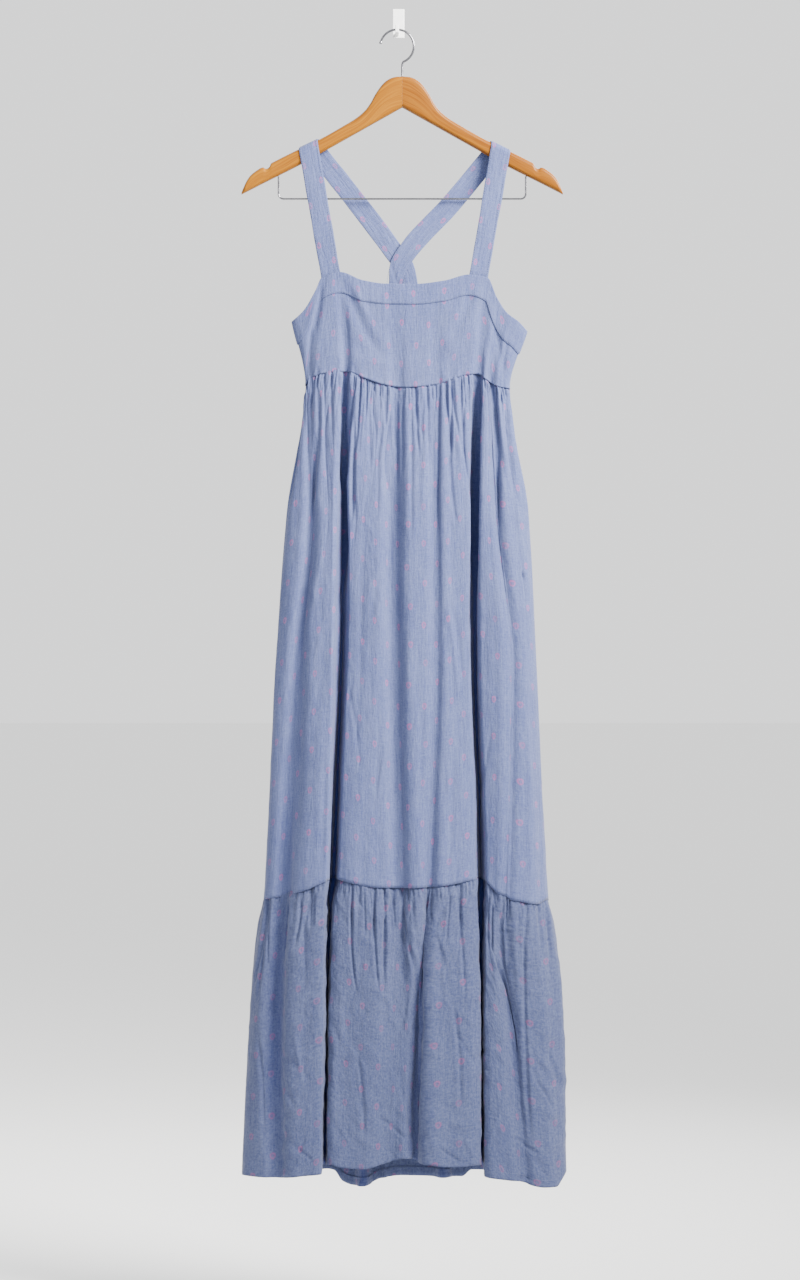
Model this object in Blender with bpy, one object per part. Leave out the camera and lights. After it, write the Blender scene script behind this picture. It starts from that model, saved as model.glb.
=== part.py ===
"""Maxi dress with crossed back straps, on a wooden hanger that hangs from a small wall hook.

Metres, +Z up. The wall is the plane y = 0 and the dress faces -Y. The origin is the middle of the
wall hook's back face. The tables are in millimetres, from a point near it on the hanger's middle
line: x to the right, z up, and "off" how far a point stands off the wall.
"""
import math
from collections import namedtuple

import bmesh
import bpy
import numpy as np

MM = 0.001
HANGER_AT = (5.0, 0.0, 4.0)     # where the tables' own zero lies, from the middle of the wall hook
HANGER_OFF = 24.0               # the hanger's middle plane, off the wall

SEAM_GAP = 0.3          # between two pieces that are sewn together
SLANT_GAP = 0.6         # the same gap measured straight down where the seam is steep
CLOTH = 1.2             # wall of the panels
BAND_CLOTH = 1.6        # wall of the bands, which are folded double
STRAP_CLOTH = 1.8       # wall of the straps, which are folded double
STRAP_WIDTH = 27.0
BAND_HEIGHT = 27.0
BAND_STEEPEST = 1.42    # most times that height that a band reaches straight down from a sloping edge

# Levels down the dress: the top edge is -1, the empire seam 0, the tier's seam 1 and the hem 2.
TOP, EMPIRE, TIER, HEM = -1.0, 0.0, 1.0, 2.0
LEVELS = (TOP, EMPIRE, 0.25, 0.55, TIER, 1.1, 1.5, HEM)

# The two side seams, and how far the front, the sides and the back stand off the wall.
LEFT_SEAM = (-151, -133, -158, -170, -190, -199, -211, -220)
RIGHT_SEAM = (171, 148, 174, 185, 200, 209, 221, 225)
FRONT_OFF = (42, 46, 58, 68, 86, 90, 98, 104)
SIDE_OFF = (25, 26, 28, 30, 34, 35, 38, 42)
BACK_OFF = (12, 10, 8, 8, 8, 8, 8, 9)
ROUNDNESS = 2.8         # 2 is an ellipse, more is a flatter front with rounder sides

# One row for each long fold: its place, its depth and its half width at each level, and how many
# columns of the cloth lie between it and the fold, or the side seam, on its left.
Fold = namedtuple("Fold", "name columns x deep wide")
FRONT_FOLDS = (
    Fold("side_left", 6, (-111, -128, -123, -141, -160, -164, -169, -168),
         (5, 9, 11, 13, 15, 16, 18, 13), (6, 6, 9, 12, 14, 14, 15, 15)),
    Fold("deep_left", 12, (-85, -77, -81, -84, -94, -98, -104, -106),
         (3, 11, 24, 30, 38, 39, 42, 40), (5, 5.5, 5.8, 5.8, 5.8, 5.4, 4.0, 3.0)),
    Fold("middle_left", 16, (-12, 3, 4, 5, 12, 10, -4, -14),
         (0, 2, 7, 7, 4, 3, 3, 5), (10, 9, 9, 10, 14, 14, 16, 16)),
    Fold("middle_right", 6, (46, 46, 45, 48, 42, 38, 31, 26),
         (0, 2, 6, 6, 5, 9, 13, 14), (8, 8, 9, 10, 10, 10, 12, 14)),
    Fold("deep_right", 12, (117.5, 104, 100, 100, 108, 108, 108, 108),
         (6, 13, 24, 30, 38, 39, 42, 40), (4, 5, 5.8, 5.8, 5.8, 5.4, 4.0, 3.0)),
    Fold("side_right", 11, (137, 122, 130, 149, 143, 136, 152, 165),
         (0, 7, 10, 9, 6, 9, 14, 9), (8, 6, 8, 10, 9, 9, 11, 12)),
)
BACK_FOLDS = (
    Fold("back_side_left", 11, (-118, -104, -116, -128, -140, -145, -150, -152),
         (2, 5, 9, 13, 15, 16, 18, 18), (8, 6, 7, 8, 9, 9, 11, 12)),
    Fold("back_left", 16, (-40, -36, -38, -42, -46, -48, -50, -54),
         (0, 4, 9, 13, 14, 15, 18, 20), (8, 6, 6, 6, 6, 6, 7, 8)),
    Fold("back_right", 14, (36, 38, 40, 44, 46, 48, 52, 56),
         (0, 5, 8, 11, 13, 14, 16, 18), (8, 7, 7, 7, 7, 7, 8, 9)),
    Fold("back_side_right", 17, (125, 112, 130, 142, 150, 155, 160, 164),
         (2, 6, 10, 12, 15, 16, 18, 18), (8, 6, 7, 9, 9, 9, 11, 12)),
)
COLUMNS = 72            # columns across a panel: a crest and a hollow for each gather
SHOULDER = 0.2          # how much of a fold's depth also rounds off the cloth beside it
SHOULDER_SPREAD = 3.5   # how much wider than the fold that rounding is

# Gathers: how far their crests stand from the middle of the cloth, and how far down they reach.
GATHER = 1.3
GATHER_START = 0.012    # levels over which they rise from the seam
EMPIRE_REACH = 0.13
TIER_REACH = 0.22

# Heights of the seams: one row for each point across, from the left side to the right.
Edge = namedtuple("Edge", "x z")
FRONT_TOP = (
    Edge(-151, -418), Edge(-135, -403), Edge(-119, -376), Edge(-111, -359), Edge(-85, -351),
    Edge(-55, -362), Edge(-23, -367), Edge(17, -367.5), Edge(57, -363), Edge(92, -354.5),
    Edge(117.5, -359), Edge(129.5, -385), Edge(144, -407), Edge(160, -419), Edge(171, -431),
)
FRONT_EMPIRE = (
    Edge(-133, -506), Edge(-127, -496), Edge(-99, -488), Edge(-77, -487), Edge(-50, -497),
    Edge(-21, -506), Edge(4, -509), Edge(46, -505), Edge(83, -493), Edge(104, -490),
    Edge(114, -497), Edge(132, -507), Edge(148, -510),
)
FRONT_TIER = (
    Edge(-190, -1213), Edge(-160, -1208), Edge(-129, -1199), Edge(-94, -1184), Edge(-65, -1190),
    Edge(-37, -1195), Edge(9, -1196), Edge(55, -1193), Edge(88, -1187), Edge(108, -1184),
    Edge(131, -1204), Edge(156, -1214), Edge(183, -1219), Edge(200, -1213),
)
FRONT_HEM = (
    Edge(-220, -1592), Edge(-166, -1593), Edge(-135, -1589), Edge(-112, -1586), Edge(-107, -1576),
    Edge(-98, -1573), Edge(-83, -1577), Edge(-53, -1579), Edge(-28, -1573), Edge(2, -1565),
    Edge(30, -1571), Edge(70, -1576), Edge(103, -1574), Edge(108, -1576), Edge(112, -1590),
    Edge(131, -1593), Edge(162, -1598), Edge(193, -1606), Edge(208, -1606), Edge(225, -1586),
)
BACK_TOP = (Edge(-151, -418), Edge(-60, -414), Edge(0, -412), Edge(60, -414), Edge(171, -431))
BACK_EMPIRE = (Edge(-133, -506), Edge(-60, -502), Edge(0, -504), Edge(70, -502), Edge(148, -510))
BACK_TIER = (
    Edge(-190, -1213), Edge(-100, -1210), Edge(-46, -1204), Edge(0, -1212), Edge(46, -1206),
    Edge(110, -1212), Edge(200, -1213),
)
BACK_HEM = (
    Edge(-220, -1592), Edge(-150, -1594), Edge(-104, -1588), Edge(-94, -1590), Edge(-82, -1605),
    Edge(-66, -1610), Edge(-50, -1609), Edge(-30, -1601), Edge(0, -1597), Edge(56, -1598),
    Edge(82, -1598), Edge(96, -1589), Edge(160, -1594), Edge(225, -1586),
)

# Rows of points down each panel.
SKIRT_ROWS = (0.0, 0.012, 0.04, 0.08, 0.14, 0.25, 0.4, 0.6, 0.8, 1.0)
TIER_ROWS = (1.0, 1.02, 1.07, 1.16, 1.34, 1.62, 2.0)
BODICE_STEPS = 8        # rows that the bodice is worked out on, before its bands are cut off it
BODICE_ROWS = 3         # rows of the panel that is left
SMOOTH_TO = 50          # degrees between faces, past which an edge stays sharp

# The wooden hanger, one row for each cut across an arm: distance from the middle, top and bottom.
Cut = namedtuple("Cut", "out top bottom")
ARM = (
    Cut(0.2, -79.9, -123.0), Cut(8, -80.3, -127.4), Cut(15.4, -82.2, -131.6),
    Cut(22, -86, -135.3), Cut(27.2, -90.8, -138.2), Cut(37.4, -105.1, -143.9),
    Cut(43.3, -116, -147.2), Cut(51.4, -127, -151.8), Cut(63.5, -137.3, -158.6),
    Cut(79.9, -147.4, -167.8), Cut(111.8, -165.5, -185.7), Cut(140.4, -179.2, -201.6),
    Cut(177, -197.5, -220.1), Cut(180.2, -199.3, -221.7), Cut(183.2, -205, -223.2),
    Cut(187.5, -207, -225.4), Cut(191, -205, -227.1), Cut(193.6, -205.4, -228.4),
    Cut(199.6, -208.9, -231.5), Cut(208, -215.5, -235.8), Cut(213.5, -222.8, -238.6),
    Cut(217.5, -231, -240.6), Cut(221, -239.5, -242.5),
)
ARM_THICK = 12.0
ARM_ROUND = 6           # points on each rounded edge of an arm

HOOK_WIRE = 1.6         # radius
HOOK_MIDDLE = (-7.0, -38.4)
HOOK_RADIUS = 23.0
HOOK_START = 163.0      # degrees, at the open tip
HOOK_END = -68.0        # degrees, where the wire turns down into its stem
HOOK_STEPS = 27
HOOK_STEM = ((0.6, -61.6), (0.1, -64.0), (0.0, -68.0))
KNOB_TURNS = (9, 7, 5, 3)               # degrees before the start, of the points of the tip's knob
KNOB_SWELL = (0.9, 1.35, 1.5, 1.3)      # times the wire's radius, at those points

BAR_WIRE = 1.2          # radius
BAR_OUT = 170.0         # the bar's legs, from the hanger's middle
BAR_Z = -248.3
BAR_BEND = 7.0

# The wall hook: a plate on the wall, and a peg with a raised lip that carries the hanger's hook.
PLATE = (16.0, 40.0)    # width and height
PLATE_THICK = 3.6
PLATE_CORNER = 1.2
PEG_X = HANGER_AT[0] + HOOK_MIDDLE[0]
PEG_TOP = HANGER_AT[2] + HOOK_MIDDLE[1] + HOOK_RADIUS - HOOK_WIRE - SEAM_GAP
PEG_THICK = 4.0
PEG_WIDTH = 5.0
PEG_REACH = 34.0
PEG_ROOT = 0.5          # where the peg starts, inside the plate
PEG_CORNER = 1.5        # slant at the lower front corner
LIP_HEIGHT = 7.0
LIP_THICK = 3.0

# The straps: where each one crosses the hanger, is sewn to the front, and runs down the back.
# A row of the back run is x, z and off, from under the hanger to the band across the back.
StrapRun = namedtuple("StrapRun", "side ridge_x front_inner front_outer back")
STRAPS = {
    "strap_left": StrapRun(-1, 128.0, (-85, -351), (-111, -359), (
        (-66, -248, 15.4), (-14, -317, 14.2), (5, -344, 13.6), (12.5, -368, 12.8),
        (16, -390, 12.2), (17.5, -412, 12.0))),
    "strap_right": StrapRun(1, 134.4, (92, -354.5), (117.5, -359), (
        (66, -256, 17.2), (9, -318, 17.4), (-7, -344, 17.0), (-13.5, -368, 16.2),
        (-17, -390, 14.4), (-17.5, -412, 12.0))),
}
STRAP_ACROSS = (-STRAP_WIDTH / 2, 0.0, STRAP_WIDTH / 2)
STRAP_FRONT_ROWS = (0.0, 0.15, 0.4, 0.7)    # shares of the way from the front's seam to the hanger
STRAP_WRAP = 12         # steps round the top of the hanger's arm
STRAP_BACK_ROWS = 13
STRAP_CLEAR = 0.5       # between a strap and the wood

# Colour, roughness and metallic value of each material.
MATERIALS = {
    "cotton": ((0.30, 0.37, 0.62), 0.85, 0.0),
    "wood": ((0.62, 0.33, 0.10), 0.45, 0.0),
    "steel": ((0.72, 0.72, 0.74), 0.25, 1.0),
    "plastic": ((0.86, 0.87, 0.87), 0.35, 0.0),
}


def material(name):
    """The named material, made when it is first asked for."""
    made = bpy.data.materials.get(name)
    if made is None:
        colour, roughness, metallic = MATERIALS[name]
        made = bpy.data.materials.new(name)
        made.use_nodes = True
        shader = made.node_tree.nodes["Principled BSDF"]
        shader.inputs["Base Color"].default_value = (*colour, 1.0)
        shader.inputs["Roughness"].default_value = roughness
        shader.inputs["Metallic"].default_value = metallic
    return made


def place(data, name, finish, parent=None):
    """Put mesh or curve data in the scene as one named object."""
    piece = bpy.data.objects.new(name, data)
    bpy.context.scene.collection.objects.link(piece)
    data.materials.append(material(finish))
    piece.parent = parent
    return piece


def curve_at(knots, values, at):
    """Smooth curve through the values that never swings beyond two neighbours."""
    knots = np.asarray(knots, float)
    values = np.asarray(values, float)
    steps = np.diff(values) / np.diff(knots)
    same_way = steps[:-1] * steps[1:] > 0
    both = np.where(same_way, steps[:-1] + steps[1:], 1)
    middle = np.where(same_way, 2 * steps[:-1] * steps[1:] / both, 0)
    slopes = np.concatenate((steps[:1], middle, steps[-1:]))
    low = np.clip(np.searchsorted(knots, at, side="right") - 1, 0, len(knots) - 2)
    span = knots[low + 1] - knots[low]
    t = (at - knots[low]) / span
    start = (1 + 2 * t) * (1 - t) ** 2 * values[low] + t * (1 - t) ** 2 * span * slopes[low]
    end = t * t * (3 - 2 * t) * values[low + 1] + t * t * (t - 1) * span * slopes[low + 1]
    return start + end


def section(level, folds, face_off):
    """One section across a panel, as x and off, from the left side seam to the right one."""
    left = curve_at(LEVELS, LEFT_SEAM, level)
    right = curve_at(LEVELS, RIGHT_SEAM, level)
    side = curve_at(LEVELS, SIDE_OFF, level)
    face = curve_at(LEVELS, face_off, level)
    inward = 1 if face < side else -1
    across = np.sin(np.linspace(-math.pi / 2, math.pi / 2, 1441))
    x = (left + right) / 2 + (right - left) / 2 * across
    bulge = np.maximum(1 - np.abs(across) ** ROUNDNESS, 0) ** (1 / ROUNDNESS)
    off = side + (face - side) * bulge
    for fold in folds:
        away = np.abs(x - curve_at(LEVELS, fold.x, level))
        deep = curve_at(LEVELS, fold.deep, level)
        wide = curve_at(LEVELS, fold.wide, level)
        trough = np.exp(-((away / wide) ** 3))
        shoulder = SHOULDER * np.exp(-((away / (wide * SHOULDER_SPREAD)) ** 2))
        off = off + inward * deep * bulge * (trough + shoulder)
    return x, off


def columns_of(level, folds, face_off):
    """The section's points at each column, with every fold's bottom on a column of its own."""
    x, off = section(level, folds, face_off)
    run = np.concatenate(([0.0], np.cumsum(np.hypot(np.diff(x), np.diff(off)))))
    stops = [0.0]
    counts = []
    for fold in folds:
        stops.append(float(np.interp(curve_at(LEVELS, fold.x, level), x, run)))
        counts.append(fold.columns)
    stops.append(float(run[-1]))
    counts.append(COLUMNS - sum(counts))
    along = [np.linspace(stops[i], stops[i + 1], count, endpoint=False)
             for i, count in enumerate(counts)]
    along = np.concatenate(along + [[stops[-1]]])
    return np.interp(along, run, x), np.interp(along, run, off)


def edge_height(edges, x):
    """Height of a seam or hem at each x."""
    return np.interp(x, [edge.x for edge in edges], [edge.z for edge in edges])


def sheet(levels, folds, face_off, edges):
    """Middle surface of a panel in millimetres, rows down it and columns across it."""
    heights = {}
    for level, edge in zip((TOP, EMPIRE, TIER, HEM), edges):
        heights[level] = edge_height(edge, columns_of(level, folds, face_off)[0])
    rows = []
    for level in levels:
        x, off = columns_of(level, folds, face_off)
        above = TOP if level < EMPIRE else EMPIRE if level < TIER else TIER
        below = above + 1.0
        z = heights[above] + (heights[below] - heights[above]) * (level - above)
        rows.append(np.stack((x, -off, z), axis=-1))
    return np.array(rows)


def cut_strip(grid, start, end, steps):
    """The part of a grid between two fractions of each column's height."""
    rows = []
    places = np.arange(len(grid)) / (len(grid) - 1)
    for step in np.linspace(0, 1, steps + 1):
        at = start + (end - start) * step
        row = [[np.interp(at[c], places, grid[:, c, axis]) for axis in range(3)]
               for c in range(grid.shape[1])]
        rows.append(row)
    return np.array(rows)


def outward(grid):
    """Unit normals of a panel's grid towards -Y, level at its ends and sideways at its seams."""
    across = np.gradient(grid, axis=1)
    down = np.gradient(grid, axis=0)
    normal = np.cross(down, across)
    for row in (0, -1):
        flat = across[row]
        normal[row] = np.stack((flat[:, 1], -flat[:, 0], 0 * flat[:, 0]), axis=-1)
    normal /= np.linalg.norm(normal, axis=2, keepdims=True)
    for column in (0, -1):
        sideways = np.sign(normal[:, column, 0])
        normal[:, column] = np.stack((sideways, 0 * sideways, 0 * sideways), axis=-1)
    return normal


def gathered(grid, levels, seam, reach):
    """Raise a crest and a hollow on every pair of columns, fading out below the seam."""
    normal = outward(grid)
    count = np.arange(grid.shape[1])
    uneven = 0.78 + 0.22 * np.sin(count * 0.9) * np.cos(count * 0.37)
    wave = np.where(count % 2 == 0, 1.0, -1.0) * uneven
    wave[0] = 0
    wave[-1] = 0
    grid = grid.copy()
    for row, level in enumerate(levels):
        below = level - seam
        size = min(below / GATHER_START, 1.0) * math.exp(-((below / reach) ** 2))
        grid[row] += normal[row] * (GATHER * size * wave)[:, None]
    return grid


def trimmed(grid, sides):
    """Draw a panel's top and bottom back by half a seam gap, and its side seams off the wall."""
    grid = grid.copy()
    grid[0, :, 2] -= SEAM_GAP / 2
    grid[-1, :, 2] += SEAM_GAP / 2
    grid[:, (0, -1), 1] -= sides
    return grid


def wall(name, grid, thick, parent, normal):
    """Closed solid of even thickness about a grid whose rows run down and columns to the right."""
    rows, columns = grid.shape[:2]
    mesh = bmesh.new()
    faces = []
    for side in (1, -1):
        points = (grid + side * normal * thick / 2) * MM
        faces.append([[mesh.verts.new(point) for point in row] for row in points])
    outer, inner = faces
    for r in range(rows - 1):
        for c in range(columns - 1):
            mesh.faces.new((outer[r][c], outer[r + 1][c], outer[r + 1][c + 1], outer[r][c + 1]))
            mesh.faces.new((inner[r][c], inner[r][c + 1], inner[r + 1][c + 1], inner[r + 1][c]))
    for c in range(columns - 1):
        mesh.faces.new((outer[0][c], outer[0][c + 1], inner[0][c + 1], inner[0][c]))
        mesh.faces.new((outer[-1][c + 1], outer[-1][c], inner[-1][c], inner[-1][c + 1]))
    for r in range(rows - 1):
        mesh.faces.new((outer[r + 1][0], outer[r][0], inner[r][0], inner[r + 1][0]))
        mesh.faces.new((outer[r][-1], outer[r + 1][-1], inner[r + 1][-1], inner[r][-1]))
    bmesh.ops.triangulate(mesh, faces=mesh.faces)
    data = bpy.data.meshes.new(name)
    mesh.to_mesh(data)
    mesh.free()
    data.shade_smooth()
    data.set_sharp_from_angle(angle=math.radians(SMOOTH_TO))
    return place(data, name, "cotton", parent)


def make_bodice(side, folds, face_off, edges, parent):
    """The bodice panel of one side, and the bands along its top edge."""
    levels = np.linspace(TOP, EMPIRE, BODICE_STEPS + 1)
    grid = sheet(levels, folds, face_off, edges)
    normal = outward(grid)
    seam_side = SLANT_GAP / 2 if side == "front" else -SLANT_GAP / 2
    grid[:, (0, -1), 1] -= seam_side
    height = grid[0, :, 2] - grid[-1, :, 2]
    top = np.zeros(COLUMNS + 1)
    slope = np.gradient(grid[0, :, 2], grid[0, :, 0])
    depth = BAND_HEIGHT * np.minimum(np.hypot(1, slope), BAND_STEEPEST)
    band_end = depth / height
    panel_start = (depth + SLANT_GAP) / height
    bottom = 1 - SEAM_GAP / 2 / height
    panel = cut_strip(grid, panel_start, bottom, BODICE_ROWS)
    normals = cut_strip(normal, panel_start, bottom, BODICE_ROWS)
    wall(f"bodice_{side}", panel, CLOTH, parent, normals)
    band = cut_strip(grid, top, band_end, 1)
    normal = cut_strip(normal, top, band_end, 1)
    if side == "back":
        wall("band_back", band, BAND_CLOTH, parent, normal)
        return
    corners = (0, folds[0].columns, sum(fold.columns for fold in folds[:5]), COLUMNS)
    names = ("armhole_band_left", "neck_band_front", "armhole_band_right")
    for name, first, last in zip(names, corners, corners[1:]):
        piece = band[:, first:last + 1].copy()
        if first > 0:
            piece[:, 0] += ends_in(piece[:, 0], piece[:, 1])
        if last < COLUMNS:
            piece[:, -1] += ends_in(piece[:, -1], piece[:, -2])
        wall(name, piece, BAND_CLOTH, parent, normal[:, first:last + 1])


def ends_in(edge, inside):
    """Half a seam gap from an edge towards the points inside it."""
    step = inside - edge
    return step / np.linalg.norm(step, axis=-1, keepdims=True) * SEAM_GAP / 2


def make_panels(side, folds, face_off, edges, parent):
    """The skirt and the tier of one side, each gathered into the seam above it."""
    seam_side = SEAM_GAP / 2 if side == "front" else -SEAM_GAP / 2
    for name, rows, seam, reach in (("skirt", SKIRT_ROWS, EMPIRE, EMPIRE_REACH),
                                    ("tier", TIER_ROWS, TIER, TIER_REACH)):
        grid = sheet(rows, folds, face_off, edges)
        normal = outward(grid)
        grid = gathered(grid, rows, seam, reach)
        grid = trimmed(grid, seam_side)
        wall(f"{name}_{side}", grid, CLOTH, parent, normal)


def arm_slope(out):
    """Unit direction along an arm's top, inward and up, and its height, at a distance out."""
    outs = [cut.out for cut in ARM]
    low = int(np.searchsorted(outs, out)) - 1
    run = ARM[low + 1].out - ARM[low].out
    drop = ARM[low].top - ARM[low + 1].top
    length = math.hypot(run, drop)
    return run / length, drop / length, float(np.interp(out, outs, [cut.top for cut in ARM]))


def over_the_arm(strap, sewn):
    """Rows of a strap's points and normals over the arm, as a flat ribbon laid on a round edge.

    Each row lies along the arm. The ribbon crosses the arm aslant, midway between the line up from
    the front's seam and the line down the back.
    """
    along_x, along_z, top = arm_slope(strap.ridge_x)
    along = np.array((-strap.side * along_x, 0, along_z))
    up = np.array((strap.side * along_z, 0, along_x))
    back = np.array((0.0, 1.0, 0.0))
    middle = np.array((strap.side * strap.ridge_x, -HANGER_OFF, top)) - up * ARM_THICK / 2
    radius = ARM_THICK / 2 + STRAP_CLEAR + STRAP_CLOTH / 2
    rise = (middle - sewn) * (1, 0, 1)
    fall = np.array((strap.back[0][0], middle[1], strap.back[0][1])) - middle
    lean = float(rise @ along / np.linalg.norm(rise) + fall @ along / np.linalg.norm(fall)) / 2
    climb = math.sqrt(1 - lean * lean)
    rows, normals = [], []
    for turn in np.linspace(0, math.pi, STRAP_WRAP + 1):
        face = up * math.sin(turn) - back * math.cos(turn)
        moved = lean * radius * (turn - math.pi / 2)
        rows.append([middle + face * radius + along * (moved + across) / climb
                     for across in STRAP_ACROSS])
        normals.append([face] * len(STRAP_ACROSS))
    return rows, normals


def down_the_back(strap, start, width):
    """Rows of a strap's points from under the hanger to the band that it is sewn to."""
    run = np.array([start] + [(x, -off, z) for x, z, off in strap.back])
    length = np.concatenate(([0.0], np.cumsum(np.linalg.norm(np.diff(run, axis=0), axis=1))))
    stops = np.linspace(0, length[-1], STRAP_BACK_ROWS + 1)[1:]
    middle = np.stack([curve_at(length, run[:, axis], stops) for axis in range(3)], axis=-1)
    heading = np.gradient(np.vstack((start, middle)), axis=0)[1:]
    rows = []
    for point, ahead in zip(middle, heading):
        level = np.array((-ahead[2], 0, ahead[0]))
        level *= math.copysign(1, level @ width) / np.linalg.norm(level)
        rows.append([point + level * across for across in STRAP_ACROSS])
    level = np.array((math.copysign(1, width[0]), 0, 0))
    sewn = middle[-1] + np.array((0, 0, SEAM_GAP))
    rows[-1] = [sewn + level * across for across in STRAP_ACROSS]
    return rows


def strap_grid(strap):
    """Points of a strap and their normals, a row for each station from the back to the front."""
    x, off = section(TOP, FRONT_FOLDS, FRONT_OFF)
    sewn = []
    for share in np.linspace(0, 1, len(STRAP_ACROSS)):
        at = np.array(strap.front_outer) * (1 - share) + np.array(strap.front_inner) * share
        sewn.append((at[0], -float(np.interp(at[0], x, off)), at[1] + SEAM_GAP))
    sewn = np.array(sewn)
    wrap, wrap_normals = over_the_arm(strap, sewn.mean(axis=0))
    wrap = np.array(wrap)
    front = [sewn + (wrap[0] - sewn) * share for share in STRAP_FRONT_ROWS]
    back = down_the_back(strap, wrap[-1].mean(axis=0), wrap[-1][-1] - wrap[-1][0])
    facing = np.zeros((len(STRAP_ACROSS), 3)) + (0, -1, 0)
    rows = front + list(wrap) + back
    normals = [facing] * len(front) + wrap_normals + [-facing] * len(back)
    rightward = 1 if strap.side < 0 else -1
    return np.array(rows)[::-1, ::rightward], np.array(normals)[::-1, ::rightward]


def make_arm(name, side, parent):
    """One arm of the hanger: rounded cuts joined from the middle joint out to the tip."""
    mesh = bmesh.new()
    rings = []
    for cut in ARM:
        radius = min(ARM_THICK / 2, (cut.top - cut.bottom) / 2 - 0.1)
        ring = []
        for centre, start in ((cut.top - radius, 0), (cut.bottom + radius, math.pi)):
            for step in range(ARM_ROUND):
                angle = start + math.pi * step / (ARM_ROUND - 1)
                point = (side * cut.out, math.cos(angle) * radius - HANGER_OFF,
                         centre + math.sin(angle) * radius)
                ring.append(mesh.verts.new([value * MM for value in point]))
        rings.append(ring)
    count = len(rings[0])
    for near, far in zip(rings, rings[1:]):
        for i in range(count):
            j = (i + 1) % count
            mesh.faces.new((near[i], near[j], far[j], far[i]))
    mesh.faces.new(rings[0])
    mesh.faces.new(rings[-1])
    bmesh.ops.recalc_face_normals(mesh, faces=mesh.faces)
    data = bpy.data.meshes.new(name)
    mesh.to_mesh(data)
    mesh.free()
    data.shade_smooth()
    data.set_sharp_from_angle(angle=math.radians(SMOOTH_TO))
    return place(data, name, "wood", parent)


def make_wire(name, points, radius, parent, knob=False):
    """A bent wire through the points, with filled ends; knob swells its first end."""
    curve = bpy.data.curves.new(name, "CURVE")
    curve.dimensions = "3D"
    curve.bevel_depth = radius * MM
    curve.bevel_resolution = 2
    curve.use_fill_caps = True
    spline = curve.splines.new("POLY")
    spline.points.add(len(points) - 1)
    for target, (x, z) in zip(spline.points, points):
        target.co = (x * MM, -HANGER_OFF * MM, z * MM, 1)
    if knob:
        for index, swell in enumerate(KNOB_SWELL):
            spline.points[index].radius = swell
    return place(curve, name, "steel", parent)


def hook_points():
    """The hanger's hook from its tip, over the peg and down the stem to the wood."""
    centre_x, centre_z = HOOK_MIDDLE
    knob = [math.radians(HOOK_START + turn) for turn in KNOB_TURNS]
    sweep = [math.radians(a) for a in np.linspace(HOOK_START, HOOK_END, HOOK_STEPS)]
    points = [(centre_x + HOOK_RADIUS * math.cos(a), centre_z + HOOK_RADIUS * math.sin(a))
              for a in knob + sweep]
    return points + list(HOOK_STEM) + [(0.0, ARM[0].top + SEAM_GAP)]


def bar_points():
    """The trouser bar: down from one arm, across, and up to the other."""
    foot = [cut.bottom for cut in ARM]
    top = float(np.interp(BAR_OUT + BAR_WIRE, [cut.out for cut in ARM], foot)) - SEAM_GAP
    points = [(BAR_OUT, top)]
    for turn in np.linspace(0, math.pi / 2, 6):
        points.append((BAR_OUT - BAR_BEND * (1 - math.cos(turn)),
                       BAR_Z + BAR_BEND * (1 - math.sin(turn))))
    return [(-x, z) for x, z in points] + points[::-1]


def box(name, low, high, finish):
    """A box between two corners, in millimetres, as mesh data."""
    mesh = bmesh.new()
    bmesh.ops.create_cube(mesh, size=1)
    for vert in mesh.verts:
        vert.co = [(low[i] + (high[i] - low[i]) * (vert.co[i] + 0.5)) * MM for i in range(3)]
    data = bpy.data.meshes.new(name)
    mesh.to_mesh(data)
    mesh.free()
    return place(data, name, finish)


def make_wall_hook():
    """The plate with its rounded corners, and the peg and lip that stand out of it."""
    wide, tall = PLATE
    hook = box("wall_hook", (-wide / 2, -PLATE_THICK, -tall / 2), (wide / 2, 0, tall / 2), "plastic")
    corners = hook.modifiers.new("corners", "BEVEL")
    corners.width = PLATE_CORNER * MM
    corners.segments = 2
    low = PEG_TOP - PEG_THICK
    outline = [(PEG_ROOT, PEG_TOP), (PEG_REACH - LIP_THICK, PEG_TOP),
               (PEG_REACH - LIP_THICK, PEG_TOP + LIP_HEIGHT), (PEG_REACH, PEG_TOP + LIP_HEIGHT),
               (PEG_REACH, low + PEG_CORNER), (PEG_REACH - PEG_CORNER, low), (PEG_ROOT, low)]
    mesh = bmesh.new()
    side = [mesh.verts.new(((PEG_X - PEG_WIDTH / 2) * MM, -off * MM, z * MM)) for off, z in outline]
    face = mesh.faces.new(side)
    moved = bmesh.ops.extrude_face_region(mesh, geom=[face])["geom"]
    far = [item for item in moved if isinstance(item, bmesh.types.BMVert)]
    bmesh.ops.translate(mesh, verts=far, vec=(PEG_WIDTH * MM, 0, 0))
    bmesh.ops.recalc_face_normals(mesh, faces=mesh.faces)
    data = bpy.data.meshes.new("peg")
    mesh.to_mesh(data)
    mesh.free()
    peg = place(data, "peg", "plastic")
    peg.hide_render = True
    peg.display_type = "WIRE"
    join = hook.modifiers.new("peg", "BOOLEAN")
    join.operation = "UNION"
    join.object = peg


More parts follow.
